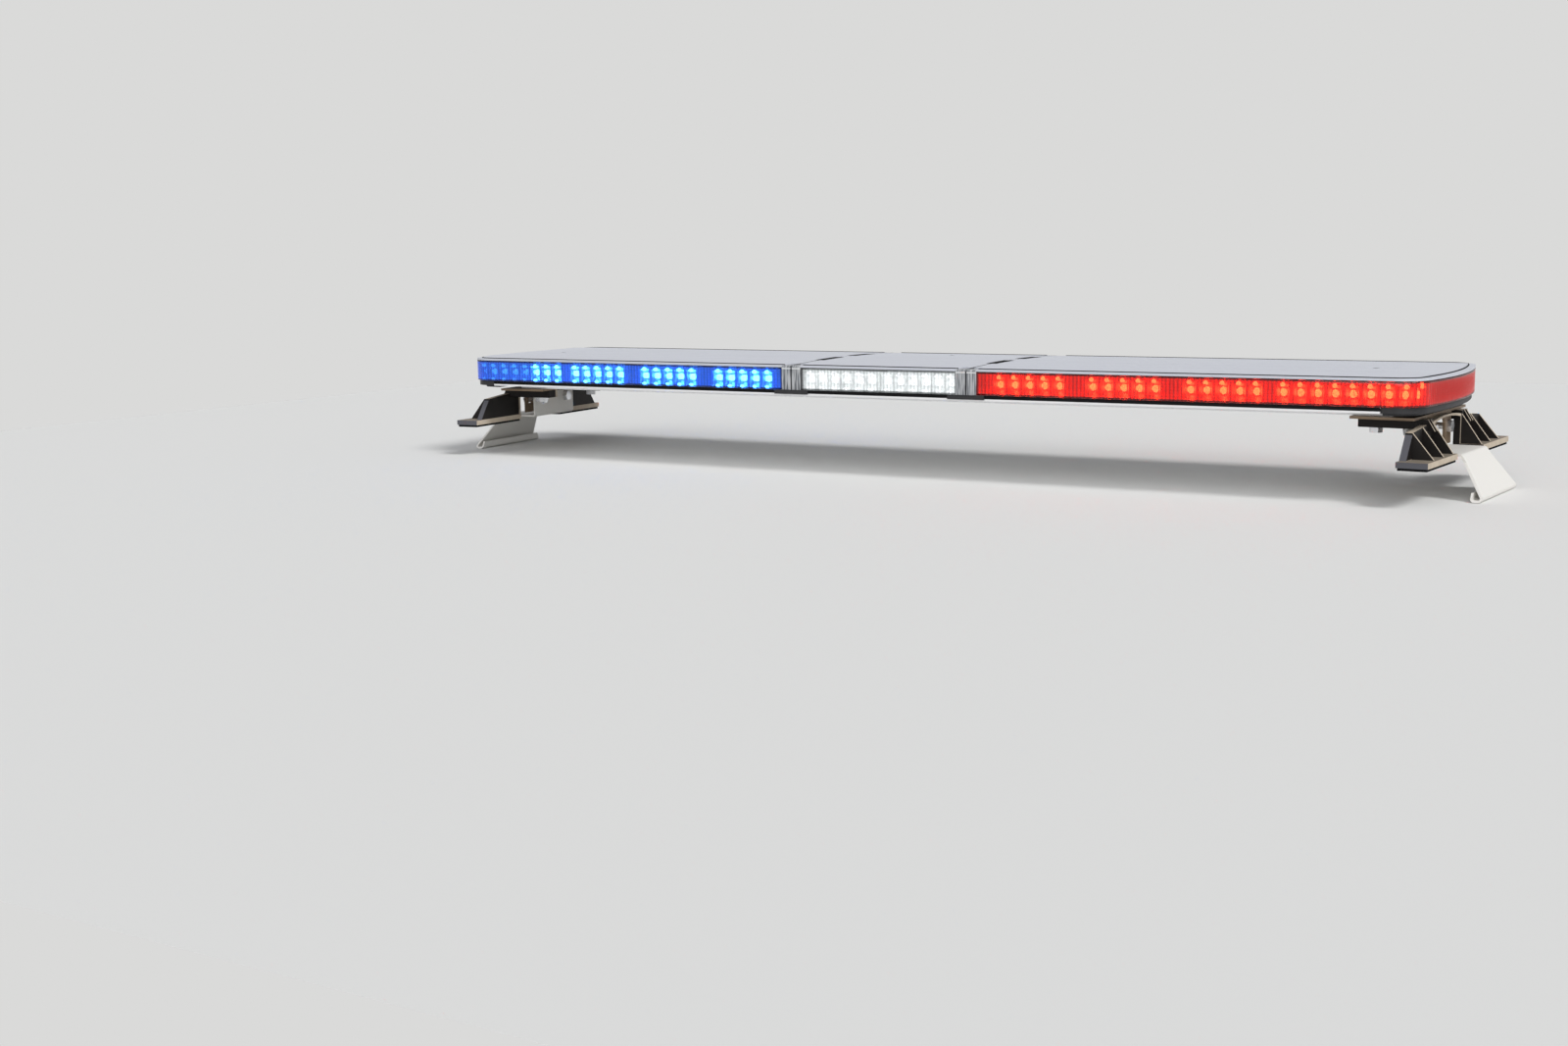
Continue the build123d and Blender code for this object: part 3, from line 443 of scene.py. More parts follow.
def fluted_lens(name, columns, material):
    """Moulds a lens wall. A column is a point, its outward direction, a distance and a flute's depth."""
    mesh = bmesh.new()
    top = LENS_FOOT + LENS_HEIGHT
    flat = LENS_HEIGHT - 2 * LENS_EDGE_ROUND
    rows = [LENS_FOOT + LENS_EDGE_ROUND + flat * k / LENS_ROWS for k in range(LENS_ROWS + 1)]
    run_and_height = []
    rings = []
    for (x, y), out, distance, outer_depth in columns:
        wave = 0.5 - 0.5 * math.cos(2 * math.pi * distance / FLUTE_PITCH)
        flute = FLUTE_DEPTH * wave
        outline = [(LENS_EDGE_ROUND, LENS_FOOT), (0, rows[0])]
        outline += [(outer_depth * wave, z) for z in rows[1:-1]]
        outline += [(0, rows[-1]), (LENS_EDGE_ROUND, top)]
        inner = [(LENS_WALL - flute, z) for z in (top, *reversed(rows), LENS_FOOT)]
        ring = []
        for depth, z in outline + inner:
            ring.append(mesh.verts.new((x - out[0] * depth, y - out[1] * depth, z)))
            run_and_height.append((distance, z - LENS_FOOT))
        rings.append(ring)
    close_skin(mesh, rings)
    lens = finish_piece(name, mesh, material, "bar")
    layout = lens.data.uv_layers.new(name="run_and_height")
    for loop in lens.data.loops:
        layout.data[loop.index].uv = run_and_height[loop.vertex_index]
    return lens


def moulded_polycarbonate(name, dye_hex, shaded_edge_hex, glow_hex, glow, foot_glow, clearness, half, end_fade):
    """Dyed polycarbonate lit from behind, most in its flutes, rows and foot optics, less at its edges,
    with painted shade darkening its dye between the flutes, at the edges and at the bar's end.
    """
    material, shader = new_material(
        name,
        Roughness=0.03,
        IOR=1.585,
        Specular_IOR_Level=0.15,
        Transmission_Weight=clearness,
        Emission_Color=linear(glow_hex),
    )
    layout = add_node(material, "ShaderNodeUVMap", {}, uv_map="run_and_height")
    run = add_node(material, "ShaderNodeSeparateXYZ", {"Vector": layout.outputs["UV"]})

    # Flutes are waves along the run, and rows are waves up the height.
    flute_turn = add_node(
        material,
        "ShaderNodeMath",
        {0: run.outputs["X"], 1: math.tau / FLUTE_PITCH},
        operation="MULTIPLY",
    )
    flute_wave = add_node(
        material,
        "ShaderNodeMath",
        {0: flute_turn.outputs["Value"]},
        operation="COSINE",
    )
    flutes = add_node(
        material,
        "ShaderNodeMapRange",
        {
            "Value": flute_wave.outputs["Value"],
            "From Min": -1.0,
            "To Min": FLUTE_VALLEY,
            "To Max": FLUTE_CREST,
        },
    )
    row_turn = add_node(
        material,
        "ShaderNodeMath",
        {0: run.outputs["Y"], 1: math.tau / ROW_PITCH},
        operation="MULTIPLY",
    )
    row_wave = add_node(material, "ShaderNodeMath", {0: row_turn.outputs["Value"]}, operation="COSINE")
    rows = add_node(
        material,
        "ShaderNodeMapRange",
        {"Value": row_wave.outputs["Value"], "From Min": -1.0, "To Min": 0.75, "To Max": 1.2},
    )
    foot_optics = add_node(
        material,
        "ShaderNodeMapRange",
        {
            "Value": run.outputs["Y"],
            "From Min": FOOT_OPTICS_HEIGHT,
            "From Max": FOOT_OPTICS_HEIGHT + 1 * MM,
            "To Min": foot_glow,
        },
    )

    # The glow fades towards the bar's end, and close to the lens's edges.
    off_middle = add_node(
        material,
        "ShaderNodeMath",
        {0: run.outputs["X"], 1: half},
        operation="SUBTRACT",
    )
    from_middle = add_node(
        material,
        "ShaderNodeMath",
        {0: off_middle.outputs["Value"]},
        operation="ABSOLUTE",
    )
    lit_part = add_node(
        material,
        "ShaderNodeMapRange",
        {
            "Value": from_middle.outputs["Value"],
            "From Min": UNLIT_HALF,
            "From Max": UNLIT_HALF + LIT_FADE,
            "To Min": end_fade,
        },
    )
    end_edge = add_node(
        material,
        "ShaderNodeMapRange",
        {
            "Value": from_middle.outputs["Value"],
            "From Min": half - FLANGE_SHADE,
            "From Max": half - 0.5 * FLANGE_SHADE,
            "To Min": 1.0,
            "To Max": FLANGE_GLOW,
        },
    )
    top_edge = add_node(
        material,
        "ShaderNodeMapRange",
        {
            "Value": run.outputs["Y"],
            "From Min": LENS_HEIGHT - FLANGE_SHADE,
            "From Max": LENS_HEIGHT - 0.5 * FLANGE_SHADE,
            "To Min": 1.0,
            "To Max": FLANGE_GLOW,
        },
    )
    foot_edge = add_node(
        material,
        "ShaderNodeMapRange",
        {
            "Value": run.outputs["Y"],
            "From Min": 0.5 * FLANGE_SHADE,
            "From Max": FLANGE_SHADE,
            "To Min": FLANGE_GLOW,
        },
    )
    level_edges = add_node(
        material,
        "ShaderNodeMath",
        {0: top_edge.outputs["Result"], 1: foot_edge.outputs["Result"]},
        operation="MINIMUM",
    )
    clear_of_edges = add_node(
        material,
        "ShaderNodeMath",
        {0: level_edges.outputs["Value"], 1: end_edge.outputs["Result"]},
        operation="MINIMUM",
    )
    grid = add_node(
        material,
        "ShaderNodeMath",
        {0: flutes.outputs["Result"], 1: rows.outputs["Result"]},
        operation="MULTIPLY",
    )
    pattern = add_node(
        material,
        "ShaderNodeMath",
        {0: grid.outputs["Value"], 1: foot_optics.outputs["Result"]},
        operation="MULTIPLY",
    )
    lit_pattern = add_node(
        material,
        "ShaderNodeMath",
        {0: pattern.outputs["Value"], 1: lit_part.outputs["Result"]},
        operation="MULTIPLY",
    )
    lit = add_node(
        material,
        "ShaderNodeMath",
        {0: lit_pattern.outputs["Value"], 1: clear_of_edges.outputs["Value"]},
        operation="MULTIPLY",
    )
    lens_glow = add_node(
        material,
        "ShaderNodeMath",
        {0: lit.outputs["Value"], 1: glow},
        operation="MULTIPLY",
    )
    link(material, lens_glow.outputs["Value"], shader.inputs["Emission Strength"])

    # Painted shade: the dye is darkened between the flutes and at the edges, under the flanges. On the
    # bar's end, which no diode lights, the painted shade is deeper still, and the lens is hazier.
    flute_shade = add_node(
        material,
        "ShaderNodeMapRange",
        {
            "Value": flutes.outputs["Result"],
            "From Min": FLUTE_VALLEY,
            "From Max": FLUTE_CREST,
            "To Min": 0.7,
        },
    )
    unshaded_share = add_node(
        material,
        "ShaderNodeMath",
        {0: clear_of_edges.outputs["Value"], 1: flute_shade.outputs["Result"]},
        operation="MULTIPLY",
    )
    end_shade = add_node(
        material,
        "ShaderNodeMapRange",
        {
            "Value": from_middle.outputs["Value"],
            "From Min": HAZE_HALF,
            "From Max": HAZE_HALF + HAZE_FADE,
            "To Min": 0.5 + 0.5 * end_fade,
        },
    )
    shaded_depth = add_node(
        material,
        "ShaderNodeMath",
        {0: unshaded_share.outputs["Value"], 1: end_shade.outputs["Result"]},
        operation="MULTIPLY",
    )
    dye = add_node(
        material,
        "ShaderNodeMix",
        {"Factor": shaded_depth.outputs["Value"], "A": linear(shaded_edge_hex), "B": linear(dye_hex)},
        data_type="RGBA",
    )
    end_haze = add_node(
        material,
        "ShaderNodeMapRange",
        {
            "Value": from_middle.outputs["Value"],
            "From Min": HAZE_HALF,
            "From Max": HAZE_HALF + HAZE_FADE,
            "To Min": end_fade * clearness,
            "To Max": clearness,
        },
    )
    link(material, end_haze.outputs["Result"], shader.inputs["Transmission Weight"])
    link(material, dye.outputs["Result"], shader.inputs["Base Color"])
    return material


# Each edge colour is the painted shade under the flanges and at the bar's end.
red_polycarbonate = moulded_polycarbonate(
    "red_dyed_polycarbonate",
    dye_hex="#EE2418",
    shaded_edge_hex="#30060A",
    glow_hex="#FF1404",
    glow=0.19,
    foot_glow=1.4,
    clearness=0.64,
    half=HALF_RUN,
    end_fade=0.35,
)
blue_polycarbonate = moulded_polycarbonate(
    "blue_dyed_polycarbonate",
    dye_hex="#3484F0",
    shaded_edge_hex="#081040",
    glow_hex="#1458FF",
    glow=0.13,
    foot_glow=1.4,
    clearness=0.7,
    half=HALF_RUN,
    end_fade=0.5,
)
clear_polycarbonate = moulded_polycarbonate(
    "colourless_polycarbonate",
    dye_hex="#F4F6F8",
    shaded_edge_hex="#5A5E60",
    glow_hex="#F6FAFF",
    glow=0.05,
    foot_glow=1.0,
    clearness=0.9,
    half=CENTRE_LENS_HALF,
    end_fade=1.0,
)

column_count = round(2 * HALF_RUN / COLUMN_PITCH)
for side, sign, material in (("left", -1, blue_polycarbonate), ("right", 1, red_polycarbonate)):
    columns = []
    for k in range(column_count + 1):
        distance = 2 * HALF_RUN * k / column_count
        (x, y), out = rim_point(distance)
        on_end = min(1, max(0, (END_FLUTES_HALF - abs(distance - HALF_RUN)) / END_FLUTES_FADE))
        columns.append(((sign * x, y), (sign * out[0], out[1]), distance, END_FLUTE_DEPTH * on_end))
    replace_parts(fluted_lens(f"fluted_lens_{side}", columns, material), f"lens_{side}")

column_count = round(2 * CENTRE_LENS_HALF / COLUMN_PITCH)
for end, side in (("front", -1), ("rear", 1)):
    columns = []
    for k in range(column_count + 1):
        distance = 2 * CENTRE_LENS_HALF * k / column_count
        columns.append(((distance - CENTRE_LENS_HALF, side * BAR_HALF_DEPTH), (0, side), distance, 0))
    lens = fluted_lens(f"fluted_lens_centre_{end}", columns, clear_polycarbonate)
    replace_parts(lens, f"lens_centre_{end}")

# Joint bands and dividers
# Colourless mouldings, frosted inside, wrap the joints between lenses, one each side of a black
# rubber bulkhead. The rubber keeps the talc that it was released from its mould with.
frosted, shader = new_material(
    "frosted_colourless_polycarbonate",
    Base_Color=linear("#C6C9CE"),
    Roughness=0.22,
    IOR=1.585,
    Transmission_Weight=0.3,
)
place = add_node(frosted, "ShaderNodeTexCoord", {})
# Streaks of painted highlight and shade, darker and paler, run across each band for the light and dark
# lines of its clear moulding.
streak_stretch = add_node(
    frosted,
    "ShaderNodeMapping",
    {"Vector": place.outputs["Object"], "Scale": (1 / (2.2 * MM), 1 / (30 * MM), 1 / (30 * MM))},
)
painted_streaks = add_node(
    frosted,
    "ShaderNodeTexNoise",
    {"Vector": streak_stretch.outputs["Vector"], "Scale": 1.0, "Detail": 2.0},
)
streak_contrast = add_node(
    frosted,
    "ShaderNodeMapRange",
    {"Value": painted_streaks.outputs["Fac"], "From Min": 0.38, "From Max": 0.62},
)
streak_tone = add_node(
    frosted,
    "ShaderNodeMix",
    {"Factor": streak_contrast.outputs["Result"], "A": linear("#73777D"), "B": linear("#DCDEE1")},
    data_type="RGBA",
)
# A thin bright line just below the covers is a painted highlight, where the mouldings' polished upper edge
# catches the light.
HIGHLIGHT_LEVEL = 94.6 * MM
HIGHLIGHT_HALF = 0.7 * MM
height = add_node(frosted, "ShaderNodeSeparateXYZ", {"Vector": place.outputs["Object"]})
off_highlight = add_node(
    frosted,
    "ShaderNodeMath",
    {0: height.outputs["Z"], 1: HIGHLIGHT_LEVEL},
    operation="SUBTRACT",
)
from_highlight = add_node(frosted, "ShaderNodeMath", {0: off_highlight.outputs["Value"]}, operation="ABSOLUTE")
highlight_line = add_node(
    frosted,
    "ShaderNodeMapRange",
    {
        "Value": from_highlight.outputs["Value"],
        "From Min": HIGHLIGHT_HALF,
        "From Max": 1.4 * HIGHLIGHT_HALF,
        "To Min": 1.0,
        "To Max": 0.0,
    },
)
band_tone_and_highlight = add_node(
    frosted,
    "ShaderNodeMix",
    {"Factor": highlight_line.outputs["Result"], "A": streak_tone.outputs["Result"], "B": linear("#FDFEFF")},
    data_type="RGBA",
)
link(frosted, band_tone_and_highlight.outputs["Result"], shader.inputs["Base Color"])
coat([name for name in nodes if name.startswith("joint_band_")], frosted)

rubber, shader = new_material("black_rubber", Roughness=0.85, IOR=1.52, Specular_IOR_Level=0.05)
place = add_node(rubber, "ShaderNodeTexCoord", {})
talc = add_node(
    rubber,
    "ShaderNodeTexNoise",
    {"Vector": place.outputs["Object"], "Scale": 1 / (1.5 * MM), "Detail": 3.0},
)
talc_shade = add_node(
    rubber,
    "ShaderNodeMix",
    {"Factor": talc.outputs["Fac"], "A": linear("#101011"), "B": linear("#222223")},
    data_type="RGBA",
)
link(rubber, talc_shade.outputs["Result"], shader.inputs["Base Color"])
talc_bump = add_node(
    rubber,
    "ShaderNodeBump",
    {"Height": talc.outputs["Fac"], "Strength": 0.2, "Distance": 0.1 * MM},
)
link(rubber, talc_bump.outputs["Normal"], shader.inputs["Normal"])
coat(["divider_left", "divider_right", "foot_pads_left", "foot_pads_right"], rubber)


# Seals
# All are extruded or moulded rubber: a flat gasket between the lenses and the covers, a bead pushed
# into the covers' channel, a strip over the base's lip, and strips and caps along the covers' seams.
# The bead rises above the covers' rim, and the lip's strip laps out over the flange under the lenses,
# so that their black is partly painted shade, for the shadow in the channel and under the lenses.
def extruded_strip(mesh, stations, profile):
    """Runs a closed profile, of setbacks and heights in mm, through points with outward directions."""
    rings = [
        [mesh.verts.new((x - out[0] * back * MM, y - out[1] * back * MM, z * MM)) for back, z in profile]
        for (x, y), out in stations
    ]
    close_skin(mesh, rings)


def straight_stations(low, high, side):
    """The two ends of a straight strip along the front or the rear of the bar."""
    return [((x, side * BAR_HALF_DEPTH), (0, side)) for x in (low, high)]


GASKET_PROFILE = ((0.1, 95.3), (0.1, 96.0), (3.0, 96.0), (3.0, 95.3))
# The bead rises above the rim, so that its black shows as painted shade for the channel's shadow.
CHANNEL_SHADE_BEAD_PROFILE = ((7.1, 96.9), (7.05, 99.2), (7.35, 99.6), (8.0, 99.6), (8.3, 99.2), (8.3, 96.9))
# The lip's strip fills the base's groove and laps out over the flange, where its black is painted shade
# under the lenses.
LIP_SHADE_PROFILE = (
    (2.8, 62.5),
    (0.5, 62.5),
    (-0.3, 63.2),
    (-0.3, 66.8),
    (-0.1, 67.0),
    (-0.05, 65.5),
    (2.8, 65.5),
)
STRIP_PITCH = 4 * MM
LATCH_HALF = 25 * MM
JOINT = 125.75 * MM
BASE_HALF = 626.7 * MM
# The lip's strip is left out behind the latches.
LIP_RUNS = (
    (-BASE_HALF, -JOINT - LATCH_HALF),
    (LATCH_HALF - JOINT, JOINT - LATCH_HALF),
    (JOINT + LATCH_HALF, BASE_HALF),
)
gaskets = bmesh.new()
beads = bmesh.new()
lip_shade_strips = bmesh.new()
wrap_stops = [0, STRAIGHT_RUN]
while wrap_stops[-1] < 2 * HALF_RUN - STRAIGHT_RUN - STRIP_PITCH:
    wrap_stops.append(wrap_stops[-1] + STRIP_PITCH)
wrap_stops += [2 * HALF_RUN - STRAIGHT_RUN, 2 * HALF_RUN]
for sign in (-1, 1):
    wrap = [rim_point(stop) for stop in wrap_stops]
    wrap = [((sign * x, y), (sign * out[0], out[1])) for (x, y), out in wrap]
    extruded_strip(gaskets, wrap, GASKET_PROFILE)
    extruded_strip(beads, wrap, CHANNEL_SHADE_BEAD_PROFILE)
for side in (-1, 1):
    centre = straight_stations(-CENTRE_LENS_HALF, CENTRE_LENS_HALF, side)
    extruded_strip(gaskets, centre, GASKET_PROFILE)
    extruded_strip(beads, centre, CHANNEL_SHADE_BEAD_PROFILE)
    for low, high in LIP_RUNS:
        extruded_strip(lip_shade_strips, straight_stations(low, high, side), LIP_SHADE_PROFILE)
finish_piece("lens_gaskets", gaskets, rubber, "bar")
finish_piece("cover_beads_painted_shade", beads, rubber, "bar")
finish_piece("lip_shade_strips", lip_shade_strips, rubber, "bar")

# The covers' crown is an arc. Strips and caps follow it a hair above, and stop at its top.
CROWN_TOP = 101.9 * MM
CROWN_RADIUS = 3162 * MM
CAP_RISE = 0.03 * MM
CAP_LIMIT = 101.89 * MM
CAP_THICKNESS = 0.1 * MM
CAP_STEPS = 16
# Each strip or cap is its middle across the bar, half its length and half its width.
SEAM_STRIP = (0.0, 136.5 * MM, 1.2 * MM)
SEAM_CAPS = ((-44 * MM, 28 * MM, 7.5 * MM), (44 * MM, 28 * MM, 7.5 * MM))
seam_rubber = bmesh.new()
for joint in (-JOINT, JOINT):
    for middle, half_length, half_width in (SEAM_STRIP, *SEAM_CAPS):
        rings = []
        for k in range(CAP_STEPS + 1):
            y = middle + half_length * (2 * k / CAP_STEPS - 1)
            top = min(CROWN_TOP - y * y / (2 * CROWN_RADIUS) + CAP_RISE, CAP_LIMIT)
            low = top - CAP_THICKNESS
            corners = ((-half_width, low), (half_width, low), (half_width, top), (-half_width, top))
            rings.append([seam_rubber.verts.new((joint + x, y, z)) for x, z in corners])
        close_skin(seam_rubber, rings)
finish_piece("seam_seals", seam_rubber, rubber, "bar")

# Top covers
# The covers are aluminium sheet, rolled along the bar and silver coated, inside a raised rim. The
# coat is satin, with faint streaks along the roll and a very fine orange-peel.
silver_coat, shader = new_material(
    "silver_coated_aluminium_sheet",
    Metallic=0.2,
    Roughness=0.42,
)
place = add_node(silver_coat, "ShaderNodeTexCoord", {})
roll_stretch = add_node(
    silver_coat,
    "ShaderNodeMapping",
    {"Vector": place.outputs["Object"], "Scale": (1 / (350 * MM), 1 / (7 * MM), 1 / (40 * MM))},
)
roll_streaks = add_node(
    silver_coat,
    "ShaderNodeTexNoise",
    {"Vector": roll_stretch.outputs["Vector"], "Scale": 1.0, "Detail": 4.0, "Roughness": 0.6},
)
roll_shade = add_node(
    silver_coat,
    "ShaderNodeMix",
    {"Factor": roll_streaks.outputs["Fac"], "A": linear("#C6C9D3"), "B": linear("#D9DCE5")},
    data_type="RGBA",
)
link(silver_coat, roll_shade.outputs["Result"], shader.inputs["Base Color"])
roll_gloss = add_node(
    silver_coat,
    "ShaderNodeMapRange",
    {"Value": roll_streaks.outputs["Fac"], "To Min": 0.34, "To Max": 0.5},
)
link(silver_coat, roll_gloss.outputs["Result"], shader.inputs["Roughness"])
peel = add_node(
    silver_coat,
    "ShaderNodeTexNoise",
    {"Vector": place.outputs["Object"], "Scale": 1 / (2 * MM), "Detail": 2.0},
)
peel_bump = add_node(
    silver_coat,
    "ShaderNodeBump",
    {"Height": peel.outputs["Fac"], "Strength": 0.15, "Distance": 0.05 * MM},
)
link(silver_coat, peel_bump.outputs["Normal"], shader.inputs["Normal"])
coat(["cover_left", "cover_centre", "cover_right"], silver_coat)

# Cover screws
# Black-oxide steel pan heads with a six-lobed drive sit in the recesses pressed into the covers.
black_oxide, shader = new_material(
    "black_oxide_steel",
    Base_Color=linear("#4A4C50"),
    Metallic=0.9,
    Roughness=0.38,
)
place = add_node(black_oxide, "ShaderNodeTexCoord", {})
oxide = add_node(
    black_oxide,
    "ShaderNodeTexNoise",
    {"Vector": place.outputs["Object"], "Scale": 1 / (0.6 * MM), "Detail": 3.0},
)
oxide_gloss = add_node(
    black_oxide,
    "ShaderNodeMapRange",
    {"Value": oxide.outputs["Fac"], "To Min": 0.3, "To Max": 0.5},
)
link(black_oxide, oxide_gloss.outputs["Result"], shader.inputs["Roughness"])
# In millimetres: each screw's place, the floor of its recess by its place across the bar, and the
# head's profile in radii and heights above that floor.
SCREW_PLACES = ((-592, -25), (0, 72), (592, -25))
SCREW_FACE = {-25: 101.31, 72: 100.59}
SCREW_PROFILE = ((3.9, 0.0), (3.9, 0.2), (3.5, 0.42), (1.9, 0.46), (1.5, 0.1))
SCREW_LOBE = 0.3
SCREW_LOBES = 6
DRIVE_RINGS = (3, 4)
SCREW_SEGMENTS = 36
screws = bmesh.new()
for screw_x, screw_y in SCREW_PLACES:
    rings = []
    for number, (radius, rise) in enumerate(SCREW_PROFILE):
        lobe = SCREW_LOBE if number in DRIVE_RINGS else 0
        ring = []
        for k in range(SCREW_SEGMENTS):
            turn = 2 * math.pi * k / SCREW_SEGMENTS
            reach = radius + lobe * math.cos(SCREW_LOBES * turn)
            x = screw_x + reach * math.cos(turn)
            y = screw_y + reach * math.sin(turn)
            ring.append(screws.verts.new((x * MM, y * MM, (SCREW_FACE[screw_y] + rise) * MM)))
        rings.append(ring)
    join_rings(screws, rings)
    screws.faces.new(rings[-1])
    screws.faces.new(list(reversed(rings[0])))
finish_piece("cover_screws", screws, black_oxide, "bar")

# Feet
# The feet are glass-filled nylon, moulded in thick ribs. Edges and faces that look up and outwards are
# a dusty beige of painted sunlight, and the pockets between the ribs black, the nylon's own dark colour
# deepened as painted shade.
# The top of a foot's blocks, and how far its ribs and its arch reach each way from its middle.
BLOCK_TOP = 9.5 * MM
LAST_RIB = 140 * MM
ARCH_HALF = 54 * MM
foot_nylon, shader = new_material(
    "glass_filled_nylon_painted_sun_and_shade",
    Roughness=0.6,
    IOR=1.53,
    Specular_IOR_Level=0.25,
)
place = add_node(foot_nylon, "ShaderNodeTexCoord", {})
facing = add_node(foot_nylon, "ShaderNodeSeparateXYZ", {"Vector": place.outputs["Normal"]})
level = add_node(foot_nylon, "ShaderNodeSeparateXYZ", {"Vector": place.outputs["Object"]})

# Painted sunlight falls on faces that look up, less so on the blocks' tops, and on those that look
# outwards on blocks and arch.
upward = add_node(
    foot_nylon,
    "ShaderNodeMapRange",
    {"Value": facing.outputs["Z"], "From Min": 0.2, "From Max": 0.5},
)
endways = add_node(foot_nylon, "ShaderNodeMath", {0: facing.outputs["Y"]}, operation="ABSOLUTE")
not_endways = add_node(
    foot_nylon,
    "ShaderNodeMapRange",
    {"Value": endways.outputs["Value"], "From Min": 0.3, "From Max": 0.6, "To Min": 1.0, "To Max": 0.0},
)
top_face = add_node(
    foot_nylon,
    "ShaderNodeMath",
    {0: upward.outputs["Result"], 1: not_endways.outputs["Result"]},
    operation="MULTIPLY",
)
sideways = add_node(foot_nylon, "ShaderNodeMath", {0: facing.outputs["X"]}, operation="ABSOLUTE")
outward = add_node(
    foot_nylon,
    "ShaderNodeMapRange",
    {"Value": sideways.outputs["Value"], "From Min": 0.75, "From Max": 0.95},
)
on_block = add_node(
    foot_nylon,
    "ShaderNodeMapRange",
    {
        "Value": level.outputs["Z"],
        "From Min": BLOCK_TOP,
        "From Max": BLOCK_TOP + 0.6 * MM,
        "To Min": 1.0,
        "To Max": 0.0,
    },
)
top_amount = add_node(
    foot_nylon,
    "ShaderNodeMapRange",
    {"Value": on_block.outputs["Result"], "To Min": 1.0, "To Max": 0.4},
)
sunlit_top = add_node(
    foot_nylon,
    "ShaderNodeMath",
    {0: top_face.outputs["Value"], 1: top_amount.outputs["Result"]},
    operation="MULTIPLY",
)
from_middle = add_node(foot_nylon, "ShaderNodeMath", {0: level.outputs["Y"]}, operation="ABSOLUTE")
on_arch = add_node(
    foot_nylon,
    "ShaderNodeMapRange",
    {
        "Value": from_middle.outputs["Value"],
        "From Min": ARCH_HALF,
        "From Max": ARCH_HALF + 2 * MM,
        "To Min": 1.0,
        "To Max": 0.0,
    },
)
open_side = add_node(
    foot_nylon,
    "ShaderNodeMath",
    {0: on_block.outputs["Result"], 1: on_arch.outputs["Result"]},
    operation="MAXIMUM",
)
block_side = add_node(
    foot_nylon,
    "ShaderNodeMath",
    {0: outward.outputs["Result"], 1: open_side.outputs["Value"]},
    operation="MULTIPLY",
)
sunlit = add_node(
    foot_nylon,
    "ShaderNodeMath",
    {0: sunlit_top.outputs["Value"], 1: block_side.outputs["Value"]},
    operation="MAXIMUM",
)

# Dust lies in blotches over the black of the painted shade and the beige of the painted sunlight.
grain = add_node(
    foot_nylon,
    "ShaderNodeTexNoise",
    {"Vector": place.outputs["Object"], "Scale": 1 / (1.0 * MM), "Detail": 4.0, "Roughness": 0.65},
)
dust = add_node(
    foot_nylon,
    "ShaderNodeTexNoise",
    {"Vector": place.outputs["Object"], "Scale": 1 / (12 * MM), "Detail": 4.0},
)
black_shade = add_node(
    foot_nylon,
    "ShaderNodeMix",
    {"Factor": dust.outputs["Fac"], "A": linear("#0C0908"), "B": linear("#1E1A18")},
    data_type="RGBA",
)
sunlit_tone = add_node(
    foot_nylon,
    "ShaderNodeMix",
    {"Factor": dust.outputs["Fac"], "A": linear("#B0A290"), "B": linear("#D6C8B4")},
    data_type="RGBA",
)
foot_shade = add_node(
    foot_nylon,
    "ShaderNodeMix",
    {
        "Factor": sunlit.outputs["Value"],
        "A": black_shade.outputs["Result"],
        "B": sunlit_tone.outputs["Result"],
    },
    data_type="RGBA",
)

# Painted shade, lighter than in the pockets: end faces that lean, or lie beyond the last rib, are dark
# grey.
facing_end = add_node(
    foot_nylon,
    "ShaderNodeMapRange",
    {"Value": endways.outputs["Value"], "From Min": 0.5, "From Max": 0.8},
)
beyond_ribs = add_node(
    foot_nylon,
    "ShaderNodeMapRange",
    {"Value": from_middle.outputs["Value"], "From Min": LAST_RIB, "From Max": LAST_RIB + 2 * MM},
)
leaning = add_node(
    foot_nylon,
    "ShaderNodeMapRange",
    {"Value": facing.outputs["Z"], "From Min": 0.1, "From Max": 0.25},
)
end_region = add_node(
    foot_nylon,
    "ShaderNodeMath",
    {0: beyond_ribs.outputs["Result"], 1: leaning.outputs["Result"]},
    operation="MAXIMUM",
)
end_face = add_node(
    foot_nylon,
    "ShaderNodeMath",
    {0: facing_end.outputs["Result"], 1: end_region.outputs["Value"]},
    operation="MULTIPLY",
)
foot_and_end_shade = add_node(
    foot_nylon,
    "ShaderNodeMix",
    {
        "Factor": end_face.outputs["Value"],
        "A": foot_shade.outputs["Result"],
        "B": linear("#5A5A60"),
    },
    data_type="RGBA",
)
link(foot_nylon, foot_and_end_shade.outputs["Result"], shader.inputs["Base Color"])
grain_bump = add_node(
    foot_nylon,
    "ShaderNodeBump",
    {"Height": grain.outputs["Fac"], "Strength": 0.35, "Distance": 0.12 * MM},
)
link(foot_nylon, grain_bump.outputs["Normal"], shader.inputs["Normal"])
coat(["foot_body_left", "foot_body_right"], foot_nylon)

# Cradles
# Each cradle is pressed from steel plate and zinc plated with a yellow passivate, which dulls to a
# cloudy light brown.
zinc, shader = new_material(
    "yellow_passivated_zinc_plate",
    Base_Color=linear("#B39C84"),
    Metallic=0.6,
    Roughness=0.45,
)
place = add_node(zinc, "ShaderNodeTexCoord", {})
cloud = add_node(
    zinc,
    "ShaderNodeTexNoise",
    {"Vector": place.outputs["Object"], "Scale": 1 / (9 * MM), "Detail": 5.0},
)
cloud_shade = add_node(
    zinc,
    "ShaderNodeMix",
    {"Factor": cloud.outputs["Fac"], "A": linear("#74624F"), "B": linear("#A38E78")},
    data_type="RGBA",
)
link(zinc, cloud_shade.outputs["Result"], shader.inputs["Base Color"])
cloud_gloss = add_node(
    zinc,
    "ShaderNodeMapRange",
    {"Value": cloud.outputs["Fac"], "To Min": 0.36, "To Max": 0.56},
)
